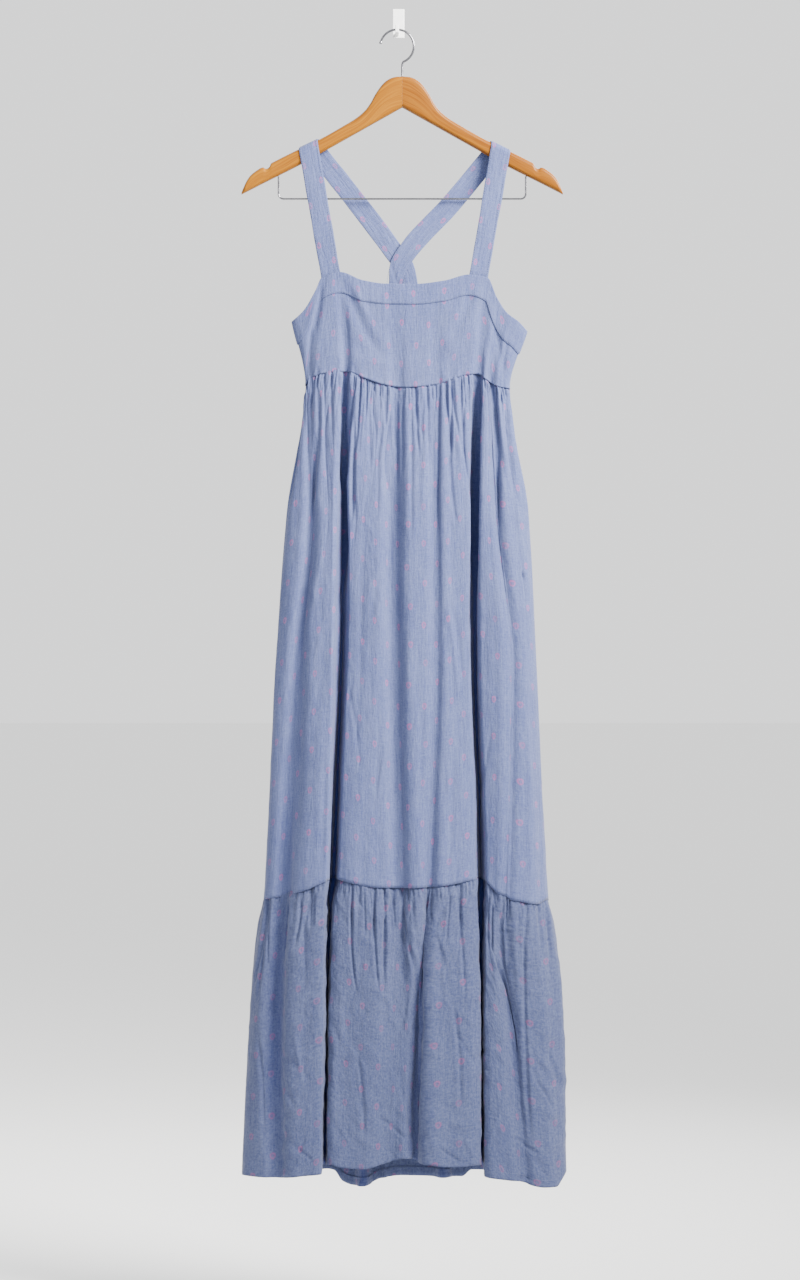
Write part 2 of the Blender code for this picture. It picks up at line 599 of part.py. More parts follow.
def main():
    for item in list(bpy.data.objects):
        bpy.data.objects.remove(item)
    hanger = bpy.data.objects.new("hanger_middle", None)
    hanger.location = [value * MM for value in HANGER_AT]
    bpy.context.scene.collection.objects.link(hanger)

    front_edges = (FRONT_TOP, FRONT_EMPIRE, FRONT_TIER, FRONT_HEM)
    back_edges = (BACK_TOP, BACK_EMPIRE, BACK_TIER, BACK_HEM)
    make_bodice("front", FRONT_FOLDS, FRONT_OFF, front_edges, hanger)
    make_bodice("back", BACK_FOLDS, BACK_OFF, back_edges, hanger)
    make_panels("front", FRONT_FOLDS, FRONT_OFF, front_edges, hanger)
    make_panels("back", BACK_FOLDS, BACK_OFF, back_edges, hanger)
    for name, strap in STRAPS.items():
        grid, normal = strap_grid(strap)
        wall(name, grid, STRAP_CLOTH, hanger, normal)
    make_arm("hanger_arm_left", -1, hanger)
    make_arm("hanger_arm_right", 1, hanger)
    make_wire("hanger_hook", hook_points(), HOOK_WIRE, hanger, knob=True)
    make_wire("trouser_bar", bar_points(), BAR_WIRE, hanger)
    make_wall_hook()


main()
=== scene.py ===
"""Looks of a cotton maxi dress with crossed back straps, on a wooden hanger and a wall hook.

Metres, +Z up, and the dress faces -Y. The tables are in millimetres, from a point near the wall
hook on the hanger's middle line: x to the right, z up, and "off" how far a point stands off the wall.
"""
import math
from collections import namedtuple

import bmesh
import bpy
import numpy as np
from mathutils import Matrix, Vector

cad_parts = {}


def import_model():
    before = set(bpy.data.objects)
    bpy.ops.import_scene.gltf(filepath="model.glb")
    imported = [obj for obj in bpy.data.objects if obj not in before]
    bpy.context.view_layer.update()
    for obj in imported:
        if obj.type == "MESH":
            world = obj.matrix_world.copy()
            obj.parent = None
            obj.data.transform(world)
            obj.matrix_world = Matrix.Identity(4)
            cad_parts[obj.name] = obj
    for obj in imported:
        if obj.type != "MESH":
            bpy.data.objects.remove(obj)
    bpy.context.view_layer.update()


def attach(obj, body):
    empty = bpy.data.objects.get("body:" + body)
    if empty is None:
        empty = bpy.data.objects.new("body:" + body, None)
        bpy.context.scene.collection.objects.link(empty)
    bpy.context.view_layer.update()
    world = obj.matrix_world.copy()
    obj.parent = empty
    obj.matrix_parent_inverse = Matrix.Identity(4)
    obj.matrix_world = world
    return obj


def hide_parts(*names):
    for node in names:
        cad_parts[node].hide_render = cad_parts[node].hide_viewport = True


MM = 0.001
HANGER_AT = np.array((5.0, 0.0, 4.0))   # where the tables' own zero lies in the part's frame
HANGER_OFF = 24.0

# Levels down the dress: the top edge is -1, the empire seam 0, the tier's seam 1 and the hem 2.
TOP, EMPIRE, TIER, HEM = -1.0, 0.0, 1.0, 2.0
LEVELS = (TOP, EMPIRE, 0.25, 0.55, TIER, 1.1, 1.5, HEM)
LEFT_SEAM = (-151, -133, -159, -174, -190, -199, -211, -220)
RIGHT_SEAM = (171, 148, 174, 185, 200, 209, 221, 225)
FRONT_OFF = (42, 46, 58, 68, 86, 90, 98, 104)
SIDE_OFF = (25, 26, 28, 30, 34, 35, 38, 42)
BACK_OFF = (12, 10, 8, 8, 8, 8, 8, 9)
ROUNDNESS = 2.8         # 2 is an ellipse, more is a flatter front with rounder sides
SAMPLES = 1801          # points on which each section is worked out

# One row for each long fold: its place, its depth and its half width at each level, and how many
# columns of the cloth lie between it and the fold, or the side seam, on its left.
Fold = namedtuple("Fold", "columns x deep wide")
FRONT_FOLDS = (
    Fold(6, (-111, -128, -123, -141, -160, -164, -169, -168),
         (1, 5, 11, 13, 15, 16, 18, 13), (8, 7, 9, 12, 14, 14, 15, 15)),
    Fold(12, (-85, -77, -81, -84, -94, -98, -104, -106),
         (0, 6, 24, 32, 38, 38, 40, 38), (7, 6.5, 5.8, 5.4, 4.8, 3.4, 2.3, 1.9)),
    Fold(16, (-12, -8, -12, -9, -3, -6, -14, -20),
         (0, 4, 11, 12, 8, 4, 4, 5), (10, 10, 14, 14, 14, 14, 16, 16)),
    Fold(6, (46, 46, 45, 46, 36, 32, 24, 20),
         (0, 2, 5, 5, 6, 12, 18, 17), (8, 8, 9, 10, 10, 10, 11, 12)),
    Fold(12, (117.5, 104, 100, 100, 108, 108, 108, 108),
         (0, 6, 24, 32, 40, 40, 41, 39), (7, 6.5, 5.8, 5.4, 5.2, 4.2, 2.9, 2.4)),
    Fold(11, (137, 122, 130, 149, 143, 136, 152, 165),
         (0, 7, 10, 9, 6, 9, 14, 9), (8, 6, 8, 10, 9, 9, 11, 12)),
)
BACK_FOLDS = (
    Fold(11, (-118, -104, -116, -128, -140, -145, -150, -152),
         (2, 5, 9, 13, 15, 16, 18, 18), (8, 6, 7, 8, 9, 9, 11, 12)),
    Fold(16, (-40, -36, -38, -42, -46, -48, -50, -54),
         (0, 4, 9, 13, 14, 15, 18, 20), (8, 6, 6, 6, 6, 6, 7, 8)),
    Fold(14, (36, 38, 40, 44, 46, 48, 52, 56),
         (0, 5, 8, 11, 13, 14, 16, 18), (8, 7, 7, 7, 7, 7, 8, 9)),
    Fold(17, (125, 112, 130, 142, 150, 155, 160, 164),
         (2, 6, 10, 12, 15, 16, 18, 18), (8, 6, 7, 9, 9, 9, 11, 12)),
)
COLUMNS = 72            # the cloth's columns: a crest and a hollow for each gather
SHOULDER = 0.2          # how much of a fold's depth also rounds off the cloth beside it
SHOULDER_SPREAD = 3.5   # how much wider than the fold that rounding is
GRAIN_LEVEL = 0.6       # where the skirt's own width is measured, to lay out its pattern
BODICE_GRAIN_LEVEL = -0.5

# Heights of the seams, as x and z of each point across, from the left side to the right.
FRONT_TOP = (
    (-151, -418), (-135, -403), (-119, -376), (-111, -359), (-85, -351), (-55, -362), (-23, -367),
    (17, -367.5), (57, -363), (92, -354.5), (117.5, -359), (129.5, -385), (144, -407), (160, -419),
    (171, -431),
)
FRONT_EMPIRE = (
    (-133, -506), (-127, -496), (-99, -488), (-77, -487), (-50, -497), (-21, -506), (4, -509),
    (46, -505), (83, -493), (104, -490), (114, -497), (132, -507), (148, -510),
)
FRONT_TIER = (
    (-190, -1210), (-160, -1205), (-129, -1196), (-94, -1181), (-65, -1187), (-37, -1192), (9, -1193),
    (55, -1190), (88, -1184), (108, -1181), (131, -1201), (156, -1211), (183, -1216), (200, -1210),
)
FRONT_HEM = (
    (-220, -1586), (-166, -1587), (-135, -1583), (-112, -1580), (-107, -1570), (-98, -1567),
    (-83, -1571), (-53, -1573), (-28, -1567), (2, -1559), (30, -1565), (70, -1570), (103, -1568),
    (108, -1570), (112, -1584), (131, -1587), (162, -1592), (193, -1600), (208, -1600), (225, -1580),
)
BACK_TOP = (
    (-151, -418), (-60, -414), (0, -412), (60, -414), (171, -431),
)
BACK_EMPIRE = (
    (-133, -506), (-60, -502), (0, -504), (70, -502), (148, -510),
)
BACK_TIER = (
    (-190, -1213), (-100, -1210), (-46, -1204), (0, -1212), (46, -1206), (110, -1212), (200, -1213),
)
BACK_HEM = (
    (-220, -1588), (-150, -1590), (-104, -1584), (-94, -1586), (-82, -1601), (-66, -1606), (-50, -1605),
    (-30, -1597), (0, -1593), (56, -1594), (82, -1594), (96, -1585), (160, -1590), (225, -1582),
)

# One row for each soft ridge of cloth that rises between the folds: where its crest is and how high
# at each level, and how far its left and its right flank reach.
Ridge = namedtuple("Ridge", "x high left right")
FRONT_RIDGES = (
    Ridge((2, 6, 10, 10, 14, 22, 36, 37), (0, 3, 6, 7, 6, 5, 6, 6), 30, 70),
    Ridge((36, 36, 36, 36, 36, 36, 36, 37), (0, 0, 0, 0, 0, 4, 8, 7), 62, 40),
    Ridge((-97, -92, -95, -98, -107, -110, -113, -114), (0, 2, 9, 12, 12, 10, 8, 6), 50, 8),
    Ridge((150, 140, 158, 168, 172, 178, 192, 198), (0, 2, 6, 8, 8, 7, 6, 5), 56, 20),
    Ridge((52, 52, 54, 56, 52, 60, 70, 76), (0, 1.5, 2.6, 3, 3, 2, 1, 1), 12, 24),
    Ridge((-136, -118, -138, -144, -146, -148, -152, -154), (0, 1, 2, 3, 4, 6, 7, 6), 20, 40),
    Ridge((128, 122, 132, 140, 140, 140, 150, 156), (0, 2, 4, 5, 4, 3, 3, 3), 14, 26),
)
BACK_RIDGES = (
    Ridge((-70, -70, -78, -84, -90, -92, -96, -98), (0, 2, 4, 5, 5, 5, 5, 5), 18, 26),
    Ridge((86, 80, 84, 90, 98, 100, 106, 110), (0, 2, 4, 5, 5, 5, 5, 5), 24, 16),
)

SIDES = {
    "front": (FRONT_FOLDS, FRONT_OFF, (FRONT_TOP, FRONT_EMPIRE, FRONT_TIER, FRONT_HEM)),
    "back": (BACK_FOLDS, BACK_OFF, (BACK_TOP, BACK_EMPIRE, BACK_TIER, BACK_HEM)),
}
RIDGES = {"front": FRONT_RIDGES, "back": BACK_RIDGES}

# One row for each crease seen on its own: its two ends, how far its middle bows to the right, its
# depth (less than 0 is a ridge) and its half width.
Crease = namedtuple("Crease", "x1 z1 x2 z2 bow deep wide")


def crease_table(*rows):
    """A table of creases from plain rows."""
    return tuple(Crease(*row) for row in rows)


SKIRT_CREASES = crease_table(
    (-78, -450, -81, -800, 0, 9.0, 4.6), (104, -450, 100, -800, 0, 11.0, 4.6),
    (-65, -540, -69, -700, 0, 4.5, 3.0), (-113, -500, -124, -700, 3, 4.0, 3.5),
    (-83, -492, -86, -660, 0, 4.5, 2.6), (-69, -492, -74, -640, 0, 3.5, 2.4),
    (-58, -500, -63, -600, 1, 2.0, 2.0), (-52, -500, -61, -610, 1, 1.8, 2.0),
    (-45.6, -530, -44, -620, 0, 1.6, 2.4), (-33, -580, -34, -690, 1, 1.4, 3.0),
    (-10.3, -505, -9, -600, -1, 2.6, 2.2), (-24, -508, -22, -570, 0, 1.4, 2.0),
    (12, -508, 12, -730, 1, 2.0, 2.6), (1, -510, 2, -640, 0, 1.6, 2.2),
    (26, -508, 28, -600, 0, 1.4, 2.4), (50.5, -500, 49, -720, 1, 2.4, 3.0),
    (65.7, -500, 86, -610, -2, 1.8, 2.4), (59.6, -560, 75, -710, -1, 1.7, 3.0),
    (124.7, -505, 134, -720, 2, 4.2, 3.8), (140, -520, 152, -640, 0, 1.8, 3.4),
    (58.8, -790, 77, -950, 3, -1.3, 4.0), (66, -800, 84, -930, 3, 0.9, 4.0),
    (30, -900, 26, -1150, -2, 1.2, 5.0), (-30, -820, -36, -1080, 3, 1.1, 5.0),
    (-56, -700, -60, -960, 2, 1.0, 5.0), (70, -1000, 60, -1180, 2, 1.1, 5.0),
    (-128, -880, -138, -1150, -3, 1.6, 5.0), (163, -760, 165.5, -774, 0, 3.0, 1.6),
    (160, -717, 170, -890, 2, 0.9, 1.6), (170, -900, 178, -1120, 3, 1.6, 5.0),
    (-104, -1010, -112, -1190, 0, 1.3, 4.0), (-64, -1058, -6, -1074, 2, -0.6, 5.0),
    (-70, -1096, -20, -1104, -2, 0.5, 5.0), (8, -1086, 46, -1078, 2, 0.7, 4.0),
    (16, -1120, 50, -1108, -2, 0.6, 4.0), (133, -1088, 162, -1102, 0, 1.3, 1.2),
    (-146, -1130, -112, -1142, 0, 0.6, 5.0),
)
TIER_CREASES = crease_table(
    (-2, -1215, 12, -1575, 2, 5.5, 13.0), (-182, -1225, -186, -1575, 0, 3.0, 8.0),
    (-67.6, -1190, -60.7, -1342, -5, 3.2, 1.9), (-38, -1198, -32, -1336, -2, 3.0, 2.0),
    (0.4, -1215, 7, -1262, 0, 2.8, 1.5), (7, -1258, 16, -1350, 3, 3.0, 1.9),
    (14, -1200, 18, -1300, 0, 1.6, 1.6), (31, -1197, 34, -1440, 2, 5.0, 2.7),
    (34, -1400, 24, -1545, 1, 3.8, 2.7), (65.7, -1196, 60, -1270, 0, 2.2, 1.5),
    (80, -1194, 76, -1290, 0, 1.9, 1.6), (123, -1205, 122, -1284, 0, 3.8, 1.9),
    (121, -1270, 164, -1436, 4, 4.5, 1.7), (165, -1212, 178, -1560, -4, 3.5, 2.2),
    (132, -1250, 153, -1254, 0, 1.5, 1.5), (186, -1268, 211, -1262, 1, 1.5, 1.5),
    (-183, -1214, -184, -1306, 0, 2.8, 1.9), (-135, -1202, -145, -1276, 2, 3.2, 1.9),
    (-150, -1206, -158, -1290, 0, 2.0, 1.9), (-118, -1194, -120, -1250, 0, 2.2, 1.5),
    (-52, -1194, -50, -1260, 0, 1.9, 1.5), (-12, -1198, -10, -1250, 0, 1.9, 1.5),
    (46, -1540, 104, -1572, -3, 2.0, 2.1), (-40, -1500, 10, -1540, 4, 1.5, 2.5),
    (-150, -1540, -118, -1566, 2, 1.8, 2.1), (140, -1530, 190, -1560, 4, 2.2, 2.5),
    (150, -1585, 176, -1588, 1, 3.8, 1.6), (176, -1450, 206, -1500, 3, 2.0, 2.7),
    (-200, -1380, -190, -1540, 4, 2.2, 3.1), (-64, -1400, -52, -1540, 4, 1.8, 3.1),
    (66, -1330, 78, -1500, 5, 2.0, 3.1),
)
BODICE_CREASES = crease_table(
    (-110, -362, -124, -438, 2, 1.6, 4.0), (-124, -420, -130, -500, 0, 1.6, 4.0),
    (-88, -364, -77, -482, 3, 0.9, 6.0), (-82, -358, -27, -468, -5, 2.0, 7.0),
    (-66, -366, -40, -420, -3, -1.0, 5.0), (0, -400, 1, -500, 0, 0.6, 1.6),
    (110, -380, 104, -492, 0, 1.0, 6.0), (96, -372, 62, -450, 4, 1.4, 7.0),
    (126, -420, 138, -500, 2, 1.6, 5.0), (60, -440, 20, -492, 3, 0.8, 6.0),
    (-60, -470, -10, -480, 2, -0.7, 7.0), (146, -440, 140, -490, -2, 1.8, 3.4),
)

# Each gathered seam: how far its edge dips behind it, how high the fine, paired and broad gathers are
# and how many levels down each of them reaches, and how uneven they are.
Gathers = namedtuple("Gathers", "seam dip fine fine_reach pairs pairs_reach broad broad_reach uneven")
EMPIRE_GATHERS = Gathers(EMPIRE, 0.6, 1.5, 0.08, 2.0, 0.24, 2.2, 0.9, 0.5)
TIER_GATHERS = Gathers(TIER, 0.35, 1.1, 0.10, 1.8, 0.30, 2.2, 1.0, 0.65)
SEAM_DIP_REACH = 1.6    # how far below its seam a gathered edge still dips behind it
GATHER_START = 0.012    # levels over which the gathers rise from the seam
GATHER_LEAST = 0.15     # their share of height on the seam itself
BROAD_START = 0.09      # levels over which the broader gathers rise
FINE_COLUMNS = 2        # columns from one fine gather to the next, and from one paired to the next
PAIR_COLUMNS = 5.2
FINE_CREST = (0.7, 1.3) # how narrow their hollows are, less is narrower, and what counts as level
PAIR_CREST = (0.6, 1.4)
PAIR_DRIFT = (3.4, 0.7) # how much more the paired ones drift, and how far they are shifted
GATHER_FALL = 1.5       # how sharply the gathers end at their reach
RIDGE_START = 30.0      # how far below the empire seam the soft ridges reach their height

BAND_CLOTH = 1.5        # thickness of the bands and straps, folded double
BAND_HEIGHT = 27.0
BAND_STEEPEST = 1.30    # most times that height that a band reaches straight down from a sloping edge
HEM_TURN = 12.0         # height of the turned-up hem
STITCH_LONG = 2.4
STITCH_GAP = 0.9
STITCH_WIDE = 0.5
EDGE_STITCH = 2.0       # from an edge to the line of stitches beside it
TUCK = 4.0              # how far a gathered edge runs up behind the seam above it
TUCK_BEHIND = 1.3       # and how far behind it
BAND_STANDS = 0.9       # how far the bands stand out from the bodice
BAND_OVER = 3.0         # how far up behind its bands the bodice panel reaches
BAND_TURN = 7           # points round the fold of a band
BAND_EDGE_IN = 0.8      # share of its half thickness by which a band's lower edge turns in
BAND_EVEN = 12          # its depth is evened over one column in this many, to either side
BAND_ROWS = 18          # rows of mesh down a band, and down the bodice below it
BODICE_ROWS = 44
BODICE_LEVELS = 61      # sections worked out down the bodice
BAND_PLACES = (6, 52)   # columns at which the neckline's band meets the armholes'
SEAM_LIP = (0.05, 0.1, 0.2, 0.25)       # how far a panel's last rows stand out over the seam
BODICE_LIP = (0.05, 0.15, 0.3, 0.45)
SEAM_TURN = 0.6         # how far up a panel's lower edge turns in behind its seam
SEAM_BEHIND = 1.8       # and how far behind it, for the skirt and for the bodice
BODICE_BEHIND = 1.6
HEM_LINE_LIFT = 0.15    # how far the hem's stitches lie above the cloth's middle
BAND_LINE_LIFT = 0.1    # how far a band's stitches lie above its face, and a strap's
STRAP_LINE_LIFT = 0.2
STITCH_RISE = (-0.05, 0.35, -0.05)      # height of a stitch's start, middle and end above its line
FOLD_CALM = 0.6         # share by which gathers are lower in a long fold
FOLD_CALM_REACH = 1.3   # columns to each side of it over which they are
SEAM_PULL = 9.0         # how far above the empire seam its gathers pull at the bodice
HEM_ROUND = 0.3         # height over which the cloth rounds the hem's lower edge
HEM_ROWS = ((0.0, 0.5), (HEM_ROUND, 1.0), (4.0, 1.2), (8.0, 1.2), (HEM_TURN, 1.1))    # up, and inward
TIER_START = 711.0      # how far down the cloth's pattern the tier begins

# Towards the side seams: columns over which relief fades out, columns over which the edge turns in,
# and how far it does.
PANEL_SIDE = (1.4, 0.35, 0.7)
BODICE_SIDE = (2.0, 0.5, 0.6)

# Soft unevenness: its height, the size of its lumps across and down, and what it adds to the seed.
Lump = namedtuple("Lump", "high wide long seed")
PANEL_LUMPS = (Lump(1.4, 34, 320, 5), Lump(0.5, 10, 80, 6))
BODICE_LUMPS = (Lump(0.6, 34, 30, 0), Lump(0.25, 12, 16, 1))
BODICE_PULL = Lump(0.7, 1.0, 1.0, 2)
GATHER_DRIFT = Lump(0.35, 3.0, 2.0 / 14, 0)
GATHER_SIZE = Lump(1.0, 1.7, 1.0, 1)
GATHER_REACH = Lump(0.5, 2.3, 1.0, 2)
GATHER_BROAD = Lump(1.0, 4.2, 1.6 / 3, 3)
STRAP_EDGE = Lump(0.02, 22, 1, 0)
STRAP_WAVE = Lump(0.35, 26, 12, 1)

# Crumpling: its share, how its lumps lean across and down, their size, and what it adds to the seed.
Crumple = namedtuple("Crumple", "share across down wide long seed")
CRUMPLES = (Crumple(1.0, 0.5, -0.4, 24, 34, 7), Crumple(0.5, -0.6, 0.0, 13, 21, 8))

# Creases made from a fixed seed. Scatter: how many, over which x and z, and how long, deep, wide and
# slanted. Pucker: from where to where along a gathered seam and how far apart, how long the short ones
# usually are, the share of long ones, and how they fan out.
Scatter = namedtuple("Scatter", "count seed x z length deep wide lean")
Pucker = namedtuple("Pucker", "start end pitch seed short long_share fan")
Size = namedtuple("Size", "deep wide")
LONG_PUCKER = Size((1.8, 3.8), (2.0, 3.2))
SHORT_PUCKER = Size((0.6, 1.9), (1.0, 1.7))
LONG_RUN = 90.0
RUN_SPREAD = 0.45       # how unevenly long the puckers are
PUCKER_ABOVE = 0.3      # share of its length by which a pucker starts above the seam
PUCKER_LEAN = 0.05      # how unevenly puckers lean
PUCKER_STEP = (0.5, 1.5)        # least and most from one to the next, for a pitch of 1
PUCKER_BOW = 0.03       # most bow of a pucker, and of a scattered crease, as a share of its length
SCATTER_BOW = 0.05
BACK_BODICE_CREASES = Scatter(14, 7, (-120, 130), (-430, -470), (20, 40), (0.4, 1.2), (2.5, 5), 0.5)

# The gathered panels: rows of mesh, how much those crowd towards the seam, and columns of mesh.
Panel = namedtuple("Panel", "name side gathers rows crowd columns crumple seed creases scatter pucker")
GATHERED = (
    Panel("skirt_front", "front", EMPIRE_GATHERS, 190, 1.35, 480, 0.5, 40, SKIRT_CREASES,
          Scatter(26, 3, (-150, 165), (-560, -1060), (60, 170), (0.4, 1.1), (2.5, 6), 0.12),
          Pucker(-131, 147, 3.0, 11, 26, 0.22, 0.16)),
    Panel("skirt_back", "back", EMPIRE_GATHERS, 120, 1.35, 340, 0.6, 60, (),
          Scatter(60, 5, (-150, 165), (-500, -1060), (60, 240), (0.8, 2.6), (2.5, 5), 0.08),
          Pucker(-131, 147, 3.2, 13, 26, 0.22, 0.16)),
    Panel("tier_front", "front", TIER_GATHERS, 160, 1.2, 560, 1.3, 80, TIER_CREASES,
          Scatter(46, 4, (-200, 210), (-1240, -1540), (30, 110), (0.4, 1.4), (2.2, 5), 0.5),
          Pucker(-188, 198, 3.8, 12, 18, 0.12, 0.05)),
    Panel("tier_back", "back", TIER_GATHERS, 90, 1.2, 360, 1.3, 100, (),
          Scatter(60, 6, (-200, 210), (-1200, -1540), (40, 150), (0.6, 2.2), (2.2, 5), 0.35),
          Pucker(-188, 198, 4.0, 14, 18, 0.12, 0.05)),
)

# The cut of what shows of a sheet, in metres: its name, width and length, its area where it isn't
# straight-sided, and how much of it the mesh holds. These are set by hand, and the mesh holds
# between 0.78 and 1.18 of them.
Flat = namedtuple("Flat", "name wide long area held")

# The wooden hanger, one row for each cut across an arm: distance from the middle, top and bottom.
Cut = namedtuple("Cut", "out top bottom")
ARM = (
    Cut(0.02, -79.9, -123.0), Cut(8, -80.3, -127.4), Cut(15.4, -82.2, -131.6),
    Cut(22, -86, -135.3), Cut(27.2, -90.8, -138.2), Cut(37.4, -105.1, -143.9),
    Cut(43.3, -116, -147.2), Cut(51.4, -127, -151.8), Cut(63.5, -137.3, -158.6),
    Cut(79.9, -147.4, -167.8), Cut(111.8, -165.5, -185.7), Cut(140.4, -179.2, -201.6),
    Cut(177, -197.5, -220.1), Cut(180.2, -199.3, -221.7), Cut(183.2, -205, -223.2),
    Cut(187.5, -207, -225.4), Cut(191, -205, -227.1), Cut(193.6, -205.4, -228.4),
    Cut(199.6, -208.9, -231.5), Cut(208, -215.5, -235.8), Cut(213.5, -222.8, -238.6),
    Cut(217.5, -231, -240.6), Cut(221, -239.5, -242.5),
)
ARM_THICK = 12.0
ARM_CUTS = 190          # fine cuts worked out between the rows
ARM_ROUND = 14          # points on each rounded edge

HOOK_WIRE = 1.6         # radius
HOOK_MIDDLE = (-7.0, -38.4)
HOOK_RADIUS = 23.0
HOOK_START = 163.0      # degrees, at the open tip
HOOK_END = -68.0
HOOK_CUTS = 70
HOOK_STEM = ((0.6, -61.6), (0.1, -64.0), (0.0, -68.0), (0.0, -79.6))
KNOB_TURNS = (9, 7, 5, 3)
KNOB_SWELL = (0.9, 1.35, 1.5, 1.3)

WIRE_SIDES = 16
SHARP = math.radians(60)    # edges of wood and wire that turn more than this are drawn sharp

BAR_WIRE = 1.3          # radius
BAR_OUT = 170.0
BAR_TOP = -217.2
BAR_Z = -248.3
BAR_BEND = 7.0
BAR_BEND_CUTS = 14
BAR_CUTS = 24           # cuts along each half of the straight, which keep this far from both its ends
BAR_CLEAR = 4

# The wall hook, in the part's own frame.
PLATE = (16.0, 40.0, 3.6)       # width, height and thickness
PEG_X = -2.0
PEG_TOP = -13.3
PEG_THICK = 4.0
PEG_WIDTH = 5.0
PEG_REACH = 34.0
PEG_ROOT = 2.0          # where the peg starts, inside the plate
PEG_CORNER = 1.5
LIP_HEIGHT = 7.0
LIP_THICK = 3.0
SOFT_EDGE = 0.8

# The straps: where each one crosses the hanger, is sewn to the front, and runs down the back.
StrapRun = namedtuple("StrapRun", "side ridge_x front_inner front_outer back pinch")
STRAPS = {
    "strap_left": StrapRun(-1, 128.0, (-85, -351), (-111, -359), (
        (-66, -248, 15.4), (-14, -317, 14.2), (3.5, -344, 13.6), (8, -368, 12.8),
        (10.5, -390, 12.2), (12, -412, 12.0)), 0.0),
    "strap_right": StrapRun(1, 134.4, (92, -354.5), (117.5, -359), (
        (66, -256, 17.2), (9, -318, 17.4), (-6, -344, 17.0), (-10, -368, 16.2),
        (-12, -390, 15.0), (-12, -412, 14.2)), 0.36),
}
STRAP_WIDTH = 27.0
STRAP_CLEAR = 0.5       # between a strap and the wood
STRAP_CLOTH = 1.8
STRAP_ACROSS = 29       # points across each face
STRAP_FRONT = 50        # cuts up the front, over the wood and down the back
STRAP_WRAP = 25
STRAP_BACK = 60
STRAP_TURN = 12         # cuts over which a strap turns to its way down the back
STRAP_UNDER = (1.4, 0.03)       # how far its start lies behind the band, and over what share it does
STRAP_LINE_START = 3    # cuts before its stitches begin
STRAP_ROUND = 6         # 2 is an ellipse across the strap, more is flatter with rounder edges
STRAP_TUCK = -0.04      # where it starts under the band, as a share of its front
PINCH_Z = -366.0        # where a strap is folded narrower, below the crossing
PINCH_REACH = 20.0
PINCH_FOLD = (-372.0, -340.0)   # the heights between which a fold runs across it
PINCH_FOLD_ENDS = (0.7, -0.9)   # and how far across, in half widths
PINCH_FOLD_HIGH = 1.4
PINCH_FOLD_WIDE = 0.14

# Motif of the cloth: small woven rings in columns, every other column set half a repeat down.
MOTIF_PITCH = 18.8      # between columns
MOTIF_REPEAT = 54.5     # down a column
MOTIF_HALF = (2.3, 4.1)     # half width and half height of a ring

# Photo: its size, millimetres per pixel where the dress hangs, and the pixel of the tables' zero.
PHOTO = (800, 1280)
PHOTO_SCALE = 1.3735
PHOTO_ZERO = (402.2, 17.5)
CAMERA_AWAY = 5.6       # metres from the dress
DRESS_OFF = 32.0        # how far off the wall that scale holds
SENSOR = 36.0

# The stage, in metres: square lights that are turned to an aim and spread over an angle in degrees.
FLOOR_Z = -1.78
FLOOR_REACH = 40.0
FLOOR_PAINT = (0.90, 0.90, 0.895)
SURROUNDINGS = (0.93, 0.935, 0.94, 1)
SURROUNDINGS_STRENGTH = 1.6
Lamp = namedtuple("Lamp", "name place aim size power colour spread")
LAMPS = (
    Lamp("key", (2.3, -1.9, 1.3), (0, 0, -0.02), 1.7, 122, (1.0, 0.98, 0.95), 60),
    Lamp("rim", (1.4, 2.2, 0.4), (0, 0, -0.8), 2.2, 42, (1.0, 1.0, 1.0), 120),
)

# How the hanger's grain, the noise, the painted shade in the folds and the creases are worked out.
GRAIN_APART = 0.05      # metres by which the grain of one arm is set off from the middle
NOISE_TABLE = (97, 89)
NOISE_FAR = 1000        # lumps that keep the table's places above zero
NOISE_GAIN = 1.4
PAINTED_SHADE_DEPTH = (12.0, 24.0)      # how deep a fold is where painted shade starts inside it, and how much deeper that painted shade is darkest
RIDGE_LEFT = 1.3        # how sharply a ridge rises from its left foot
CREASE_SINK = 1.25      # a crease's depth, and the lip raised on both its sides
CREASE_LIP = 0.35
CREASE_LIP_SPREAD = 2.2
CREASE_TAPER = 4        # a crease rises to its depth over one part in this many of its length


def eased(share):
    """A share from 0 to 1 with a soft start and end."""
    return share * share * (3 - 2 * share)


def bell(away):
    """1 at no distance, falling smoothly to nothing past a distance of about 2."""
    return np.exp(-(away ** 2))


def curve_at(knots, values, at):
    """Smooth curve through the values that never swings beyond two neighbours."""
    knots = np.asarray(knots, float)
    values = np.asarray(values, float)
    steps = np.diff(values) / np.diff(knots)
    same_way = steps[:-1] * steps[1:] > 0
    both = np.where(same_way, steps[:-1] + steps[1:], 1)
    middle = np.where(same_way, 2 * steps[:-1] * steps[1:] / both, 0)
    slopes = np.concatenate((steps[:1], middle, steps[-1:]))
    low = np.clip(np.searchsorted(knots, at, side="right") - 1, 0, len(knots) - 2)
    span = knots[low + 1] - knots[low]
    t = (at - knots[low]) / span
    start = (1 + 2 * t) * (1 - t) ** 2 * values[low] + t * (1 - t) ** 2 * span * slopes[low]
    end = t * t * (3 - 2 * t) * values[low + 1] + t * t * (t - 1) * span * slopes[low + 1]
    return start + end


def soft_noise(u, v, u_size, v_size, seed):
    """Smooth noise between -1 and 1 whose lumps are about u_size by v_size millimetres."""
    across, down = NOISE_TABLE
    table = np.random.RandomState(seed).uniform(-1, 1, NOISE_TABLE)
    u = u / u_size + NOISE_FAR
    v = v / v_size + NOISE_FAR
    u0 = np.floor(u).astype(int)
    v0 = np.floor(v).astype(int)
    fu = eased(u - u0)
    fv = eased(v - v0)
    a, b = u0 % across, (u0 + 1) % across
    c, d = v0 % down, (v0 + 1) % down
    low = table[a, c] * (1 - fu) + table[b, c] * fu
    high = table[a, d] * (1 - fu) + table[b, d] * fu
    return (low * (1 - fv) + high * fv) * NOISE_GAIN


